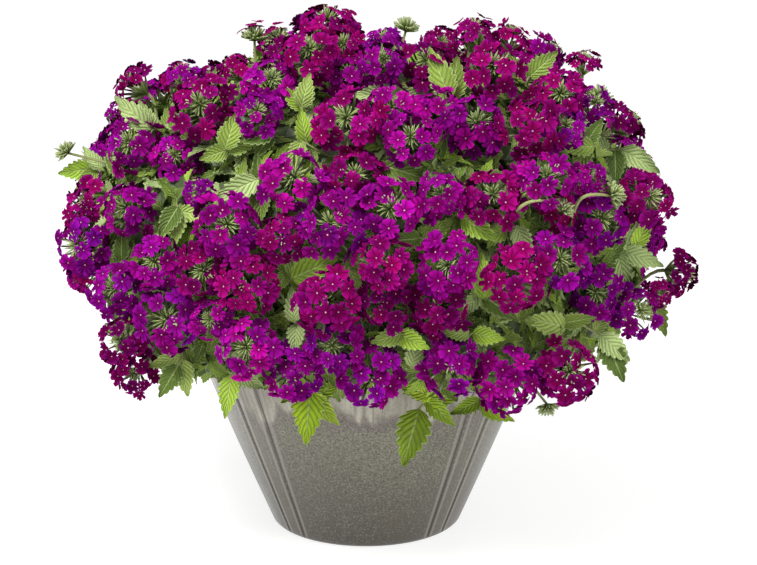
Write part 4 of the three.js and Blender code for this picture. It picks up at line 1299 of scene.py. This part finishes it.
def add_sprig(bm, shoot, x, y, *leaves):
    """A twig with the plan's leaves at its end."""
    place = from_drawing(x, y, SPRIG_INSET)[0]
    scale = from_drawing(x, y)[2] / FOCAL
    tints = YOUNG_TINTS if y > LOW_ON_SHEET else LEAF_TINTS[1:7]
    start = shoot["heart"].lerp(place, 0.3)
    back = (start - place).normalized()
    add_tube(bm, [start, start.lerp(place, 0.5), place], 1.3, 0.9, shaded(STALK_TINT), 5)
    for k, (angle, drawn) in enumerate(leaves):
        root, length = place + back * (1.2 + 4.5 * k), drawn * scale
        for aside in (0, 14, -14, 28, -28, 42, -42):
            along = way_in(SHEET_FRAME, angle + aside, 0.35)
            if has_room(root, along, length, 0.6):
                break
        tint = shaded(tints[int(len(tints) * vary())], 0.85, 1.2)
        add_leaf(bm, root, along, -SIGHT, length * 1.05, tint, LARGE_BLADES)


def softened(path):
    """A path of points with its corners cut twice."""
    for _ in range(2):
        inner = [a.lerp(b, share) for a, b in zip(path, path[1:]) for share in (0.25, 0.75)]
        path = [path[0], *inner[1:-1], path[-1]]
    return path


def add_bud_head(bm, shoot, x, y, width, facing, *bends):
    """A green head in bud: a fan of calyces on a twig, which may arch over the heads in front."""
    place, line, along = from_drawing(x, y)
    radius = width / 2 * along / FOCAL
    axis = way_in(SHEET_FRAME, facing, 0.2)
    if bends:
        place -= line * 12
    foot = place - axis * 0.5 * radius
    over = []
    for k, bend in enumerate(bends):
        spot, line, _ = from_drawing(*bend)
        over.append(spot - line * (4 + 8 * k))
    path = [shoot["heart"].lerp((over or [foot])[0], 0.3), *over, foot]
    thick, light = (1.5, (1.2, 1.4)) if bends else (1.3, (0.9, 1.2))
    add_tube(bm, softened(path), thick, 1.0, shaded(STALK_TINT, *light), 5)
    for k in range(BUD_CALYCES):
        tilt = math.radians(BUD_TILT * math.sqrt((k + 0.5) / BUD_CALYCES))
        root = foot + axis * between(-0.15, 0.10) * radius
        size = radius * between(1.12, 1.38)
        stand = standing(root, turned(axis, tilt, GOLDEN_ANGLE * k), between(0, 6), size)
        add_copy(bm, SHORT_BUD, stand, shaded(CALYX_TINT, 0.6, 1.6), STEM)
    for k in range(5 if (x, y) in OPENING else 0):
        out = turned(axis, math.radians(between(15, 50)), 1.26 * k)
        spot = foot + out * radius * between(1.3, 1.7)
        stand = standing(spot, (out + axis).normalized(), between(0, 6), 5.0)
        add_copy(bm, FLORETS[k % len(FLORETS)], stand, shaded(TINTS["w"][0]), PETAL)


def add_young_head(bm, shoot, number, place, axis):
    """A small head with few florets on a twig. It draws nothing at random."""
    root = place - axis * 9
    light = list(TINTS.values())[number % len(TINTS)][0]
    add_tube(bm, [shoot["heart"].lerp(place, 0.3), root], 1.2, 1.0, STALK_TINT, 5)
    for k in range(YOUNG_FLORETS):
        tilt = YOUNG_TILT * math.sqrt((k + 1.2) / (YOUNG_FLORETS + 1))
        out = turned(axis, tilt, GOLDEN_ANGLE * k)
        spot = place + out * YOUNG_RADIUS * (0.95 + 0.12 * (k % 2))
        tint = [(0.75 + 0.12 * (k % 4)) * part for part in light]
        stand = standing(spot, (out + axis * 0.3).normalized(), 2.0 * k, YOUNG_SIZE)
        add_copy(bm, FLORETS[k % len(FLORETS)], stand, tint, PETAL)
        way = spot - root
        add_copy(bm, CALYX, standing(root, way.normalized(), 0, way.length - 1.5), CALYX_TINT, STEM)
    for k in range(YOUNG_BUDS):
        out = turned(axis, math.radians(35) * math.sqrt((k + 0.3) / YOUNG_BUDS), GOLDEN_ANGLE * k)
        add_copy(bm, BUDS[k % 2], standing(place, out, k, 0.8 * YOUNG_RADIUS), CALYX_TINT, STEM)


print(f"{BUD_CALYCES} calyces in a head in bud")

# %% Build the shoots
# a dark green that is painted shade: the tint of the hulls and the core inside the bush
DEPTH_SHADE_TINT = (0.045, 0.066, 0.018)
CORE_INSET = 40


def add_stems(bm, shoot):
    """The stem from the soil to the heart of a shoot, and its branches."""
    root, heart = shoot["root"], shoot["heart"]
    way_up = arch(root + Vector((0, 0, -8)), root + Vector((0, 0, 34)), heart, 8)
    add_tube(bm, way_up, 2.5, 2.1, shaded(STALK_TINT))
    for place, axis in shoot["ends"]:
        branch = arch(heart, place - axis * 24, place - axis, 6)
        add_tube(bm, branch, 2.1, 1.5, shaded(STALK_TINT))


def build_shoot(own, name):
    shoot = shoots[name]
    bm = bmesh.new()
    add_stems(bm, shoot)
    grown = 0
    surfaces = [(HULLS[own], False)]
    if name == "top":
        surfaces.append((make_core(CORE_INSET), True))
    for surface, gaps_only in surfaces:
        grown += strew_leaves(bm, surface, gaps_only)
        # the hull or core itself stays inside, tinted dark as painted shade
        add_copy(bm, finish_mesh(surface, "hull"), UNMOVED, DEPTH_SHADE_TINT, STEM)
    if name in FRONT_SHOOTS:
        for sprig in FRONT_SHOOTS[name]["sprigs"]:
            add_sprig(bm, shoot, *sprig)
            grown += len(sprig) - 2
        for bud in FRONT_SHOOTS[name]["buds"]:
            add_bud_head(bm, shoot, *bud)
    for number, (owner, place, axis) in enumerate(YOUNG_HEADS):
        if owner == own:
            add_young_head(bm, shoot, number, place, axis)
    mesh = finish_mesh(bm, f"{name}_leaves")
    add_piece(f"{name}_leaves", mesh, [LEAVES, STEMS, PETALS], f"{name}_shoot")
    return grown, triangles_of(mesh)


grown, total = np.sum([build_shoot(own, name) for own, name in enumerate(NAMES)], axis=0)
print(f"{grown} leaves, {total} triangles")

# %% [markdown]
# ## The pot
#
# The pot is thrown stoneware: a straight, flaring wall with a soft rim. Its profile is a chain of
# vertices that is spun round the middle in stretches, with small steps where the paired grooves run
# from rim to foot and long ones between. The grooves are then pressed in.

# %% Model the pot
INNER_RADIUS, FLOOR_THICKNESS = 142, 10
GROOVE_DEPTH = 1.4
GROOVE_WIDTH, GROOVE_ASIDE, GROOVE_HALF = 0.62, 6.2, 3.0  # degrees
GROOVES = [45 + 90 * quarter + side * GROOVE_ASIDE for quarter in range(4) for side in (-1, 1)]


def wall_radius(height):
    share = height / POT_HEIGHT
    return FOOT_RADIUS + (RIM_RADIUS - FOOT_RADIUS) * share + 4.8 * share * (1 - share)


def pot_profile():
    """Radius and height of the pot from the middle of its underside, up, over the rim and in."""
    outside = [(wall_radius(z), z) for z in (2.4, 6, 20, 45, 70, 90, 110, 135, 155, 170, 176)]
    foot = [(0, 0), (wall_radius(2) - 5.2, 0), (wall_radius(2) - 1.6, 0.6)]
    rim = [(149.4, 178.6), (147.8, 179.8), (145.6, 179.9), (143.2, 178.6), (INNER_RADIUS, 176)]
    inside = [(0.56 * INNER_RADIUS + 33, 90), (74.6, 14)]
    inside += [(70, FLOOR_THICKNESS), (0, FLOOR_THICKNESS)]
    return [*foot, *outside, *rim, *inside]


def groove_depth(angle, height):
    """How deep the wall is pressed in at an angle and a height."""
    fade = min(1.0, max(0.0, (height - 1.5) / 6)) * min(1.0, max(0.0, (178.5 - height) / 5))
    nearest = min(abs((angle - groove + 180) % 360 - 180) for groove in GROOVES)
    return GROOVE_DEPTH * fade * math.exp(-((nearest / GROOVE_WIDTH) ** 2))


def make_pot():
    bm = bmesh.new()
    profile = [bm.verts.new((radius, 0, height)) for radius, height in pot_profile()]
    edges = [bm.edges.new(pair) for pair in zip(profile, profile[1:])]
    geometry = profile + edges
    stops = sorted(groove + side * GROOVE_HALF for groove in GROOVES for side in (-1, 1))
    start = Matrix.Rotation(math.radians(stops[0]), 3, "Z")
    bmesh.ops.rotate(bm, verts=bm.verts, cent=(0, 0, 0), matrix=start)
    for k, stop in enumerate(stops):
        after = stops[(k + 1) % len(stops)] + (360 if k + 1 == len(stops) else 0)
        steps = 20 if k % 2 == 0 else max(2, round((after - stop) / 4))
        spun = bmesh.ops.spin(
            bm, geom=geometry, cent=(0, 0, 0), axis=(0, 0, 1), dvec=(0, 0, 0),
            angle=math.radians(after - stop), steps=steps, use_merge=False, use_duplicate=False,
        )
        geometry = spun["geom_last"]
    bmesh.ops.remove_doubles(bm, verts=bm.verts, dist=0.01)
    for vertex in bm.verts:
        reach = math.hypot(vertex.co.x, vertex.co.y)
        if reach > wall_radius(vertex.co.z) - 2 and vertex.co.z > 1:
            angle = math.degrees(math.atan2(vertex.co.y, vertex.co.x))
            pressed = (reach - groove_depth(angle, vertex.co.z)) / reach
            vertex.co.x *= pressed
            vertex.co.y *= pressed
    bmesh.ops.recalc_face_normals(bm, faces=bm.faces)
    bmesh.ops.scale(bm, vec=(MM, MM, MM), verts=bm.verts)
    return finish_smooth(bm, "pot")


POT = make_pot()
print(f"pot: {len(POT.polygons)} faces")

# %% [markdown]
# ## The glaze
#
# Two glazes meet on the pot. A pale cream one was poured over the rim and ran down in uneven drips;
# under it lies a grey-brown one with a fine dark speckle. Where they meet, the cream turns mauve.
# In the grooves the wall is painted dark as shade, with a pale painted highlight beside each groove,
# and the grey-brown is darkened towards the foot as painted shade. All of it follows the height and
# the angle on the wall.

# %% Glaze material


def groove_masks(tree, angle):
    """Masks of the painted shade in the grooves, the painted highlight beside them and each pair's
    band.
    """
    turn = product(tree, angle, 180 / math.pi)
    quarter = math_node(tree, "FRACT", math_node(tree, "MULTIPLY_ADD", turn, 1 / 90, 8.0))
    from_pair = distance(tree, product(tree, quarter, 90.0), 45.0)
    from_groove = distance(tree, from_pair, GROOVE_ASIDE)
    # where the painted shade in each groove lies
    line = ramp(tree, from_groove, 0.80, 0.25)
    # where the painted highlight beside each groove lies
    side = ramp(tree, distance(tree, from_groove, 2.1), 1.1, 0.2)
    return line, side, ramp(tree, from_pair, 12.0, 8.0)


def make_glaze():
    material, tree, shader = new_material(
        "glaze", roughness=0.4, specular_ior_level=0.5, coat_weight=0.3, coat_roughness=0.22
    )
    place = node(tree, "TexCoord").outputs["Object"]
    x, y, z = node(tree, "SeparateXYZ", place).outputs
    height = product(tree, z, 1000.0)
    angle = math_node(tree, "ARCTAN2", y, x)

    def streaks(turns, scale, detail):
        """Noise drawn out down the wall."""
        across, along = product(tree, angle, turns), product(tree, height, 0.006)
        return noise(tree, result(tree, "CombineXYZ", across, along), scale, detail)

    cosine, sine = math_node(tree, "COSINE", angle), math_node(tree, "SINE", angle)
    round_wall = result(tree, "CombineXYZ", cosine, sine, product(tree, height, 0.003))
    drips, slow = noise(tree, round_wall, 9.0, 4.0), noise(tree, round_wall, 2.2, 1.0)
    cloud, grain = noise(tree, place, 16.0, 5.0), noise(tree, place, 680.0, 3.0)

    # above the line the glaze is cream, below it the grey-brown one
    line = math_node(tree, "MULTIPLY_ADD", slow, -50.0, 176.0)
    line = math_node(tree, "MULTIPLY_ADD", drips, -60.0, line)
    over = math_node(tree, "SUBTRACT", height, line)
    brown = mix(tree, ramp(tree, cloud, 0.3, 0.7), (0.100, 0.094, 0.060), (0.144, 0.137, 0.092))
    # the grey-brown darkens towards the foot: painted shade
    brown = mix(tree, ramp(tree, height, 110.0, 0.0, 0.0, 0.95), brown, (0.036, 0.031, 0.018))
    cream = mix(tree, ramp(tree, drips, 0.35, 0.65), (0.20, 0.18, 0.135), (0.37, 0.35, 0.28))
    streaky = ramp(tree, streaks(22.0, 1.6, 5.0), 0.50, 0.66, 0.0, 0.7)
    cream = mix(tree, streaky, cream, (0.150, 0.120, 0.088))
    fringe = product(tree, ramp(tree, over, -14.0, -2.0), ramp(tree, over, 9.0, 0.0))

    # what lies over both
    body = ramp(tree, over, 6.0, -6.0, 0.3, 1.0)
    dark, pale = ramp(tree, grain, 0.50, 0.62, 0.0, 0.85), ramp(tree, grain, 0.45, 0.33, 0.0, 0.35)
    rust = product(tree, ramp(tree, cloud, 0.48, 0.66, 0.0, 0.6), ramp(tree, height, 70.0, 8.0))
    runs = streaks(30.0, 2.0, 4.0)
    lines, sides, between_pair = groove_masks(tree, angle)
    on_wall = ramp(tree, height, 177.0, 172.0)
    # painted shade in the grooves, of uneven strength along the runs
    painted_groove_shade = product(tree, on_wall, ramp(tree, runs, 0.3, 0.65, 0.5, 0.95))
    stained = product(tree, between_pair, ramp(tree, runs, 0.42, 0.60, 0.0, 0.75))
    colour = layered(
        tree, mix(tree, ramp(tree, over, -3.0, 9.0), brown, cream),
        (product(tree, fringe, 0.75), (0.105, 0.075, 0.070)),
        (product(tree, dark, body), (0.036, 0.028, 0.018)),
        (product(tree, pale, body), (0.31, 0.30, 0.245)),
        (rust, (0.060, 0.042, 0.024)),
        (stained, (0.072, 0.056, 0.036)),
        # painted shade: dark lines in the grooves
        (product(tree, lines, painted_groove_shade), (0.030, 0.024, 0.018)),
        # painted highlight: pale lines beside the grooves
        (product(tree, sides, product(tree, on_wall, 0.3)), (0.42, 0.39, 0.34)),
        (ramp(tree, height, 5.0, 1.0, 0.0, 0.85), (0.042, 0.027, 0.019)),
    )
    tree.links.new(colour, shader.inputs["Base Color"])
    tree.links.new(ramp(tree, cloud, 0.3, 0.7, 0.30, 0.46), shader.inputs["Roughness"])
    bump(tree, shader, grain, 0.10, 0.0005)
    return material


add_piece("glazed_pot", POT, [make_glaze()], "pot")
print("the pot has its glaze")

# %% [markdown]
# ## The soil
#
# The solid of the soil already has the right shape, a low heap just under the rim, so it stays and
# only gets its finish: dark, damp, crumbly potting soil.

# %% Soil material


def make_soil():
    material, tree, shader = new_material("soil", roughness=0.95)
    place = node(tree, "TexCoord").outputs["Object"]
    dust = ramp(tree, noise(tree, place, 90.0, 6.0), 0.35, 0.7)
    colour = mix(tree, dust, (0.018, 0.012, 0.008), (0.075, 0.050, 0.033))
    tree.links.new(colour, shader.inputs["Base Color"])
    bump(tree, shader, result(tree, "TexVoronoi", place, 260.0), 0.8, 0.004)
    return material


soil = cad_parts["soil"]
soil.data.materials.clear()
soil.data.materials.append(make_soil())
print("the soil has its finish")

# %% [markdown]
# ## The floor
#
# The pot stands on a wide white floor that runs on into the white background.

# %% Floor


def add_floor():
    bm = bmesh.new()
    bmesh.ops.create_grid(bm, x_segments=1, y_segments=1, size=6)
    floor = new_object("floor", finish_mesh(bm, "floor"))
    grey, white = (0.47, 0.47, 0.47, 1), (1, 1, 1, 1)
    material, *_ = new_material(
        "floor", roughness=0.8, base_color=grey, emission_color=white, emission_strength=0.76
    )
    floor.data.materials.append(material)


add_floor()
print("a white floor")
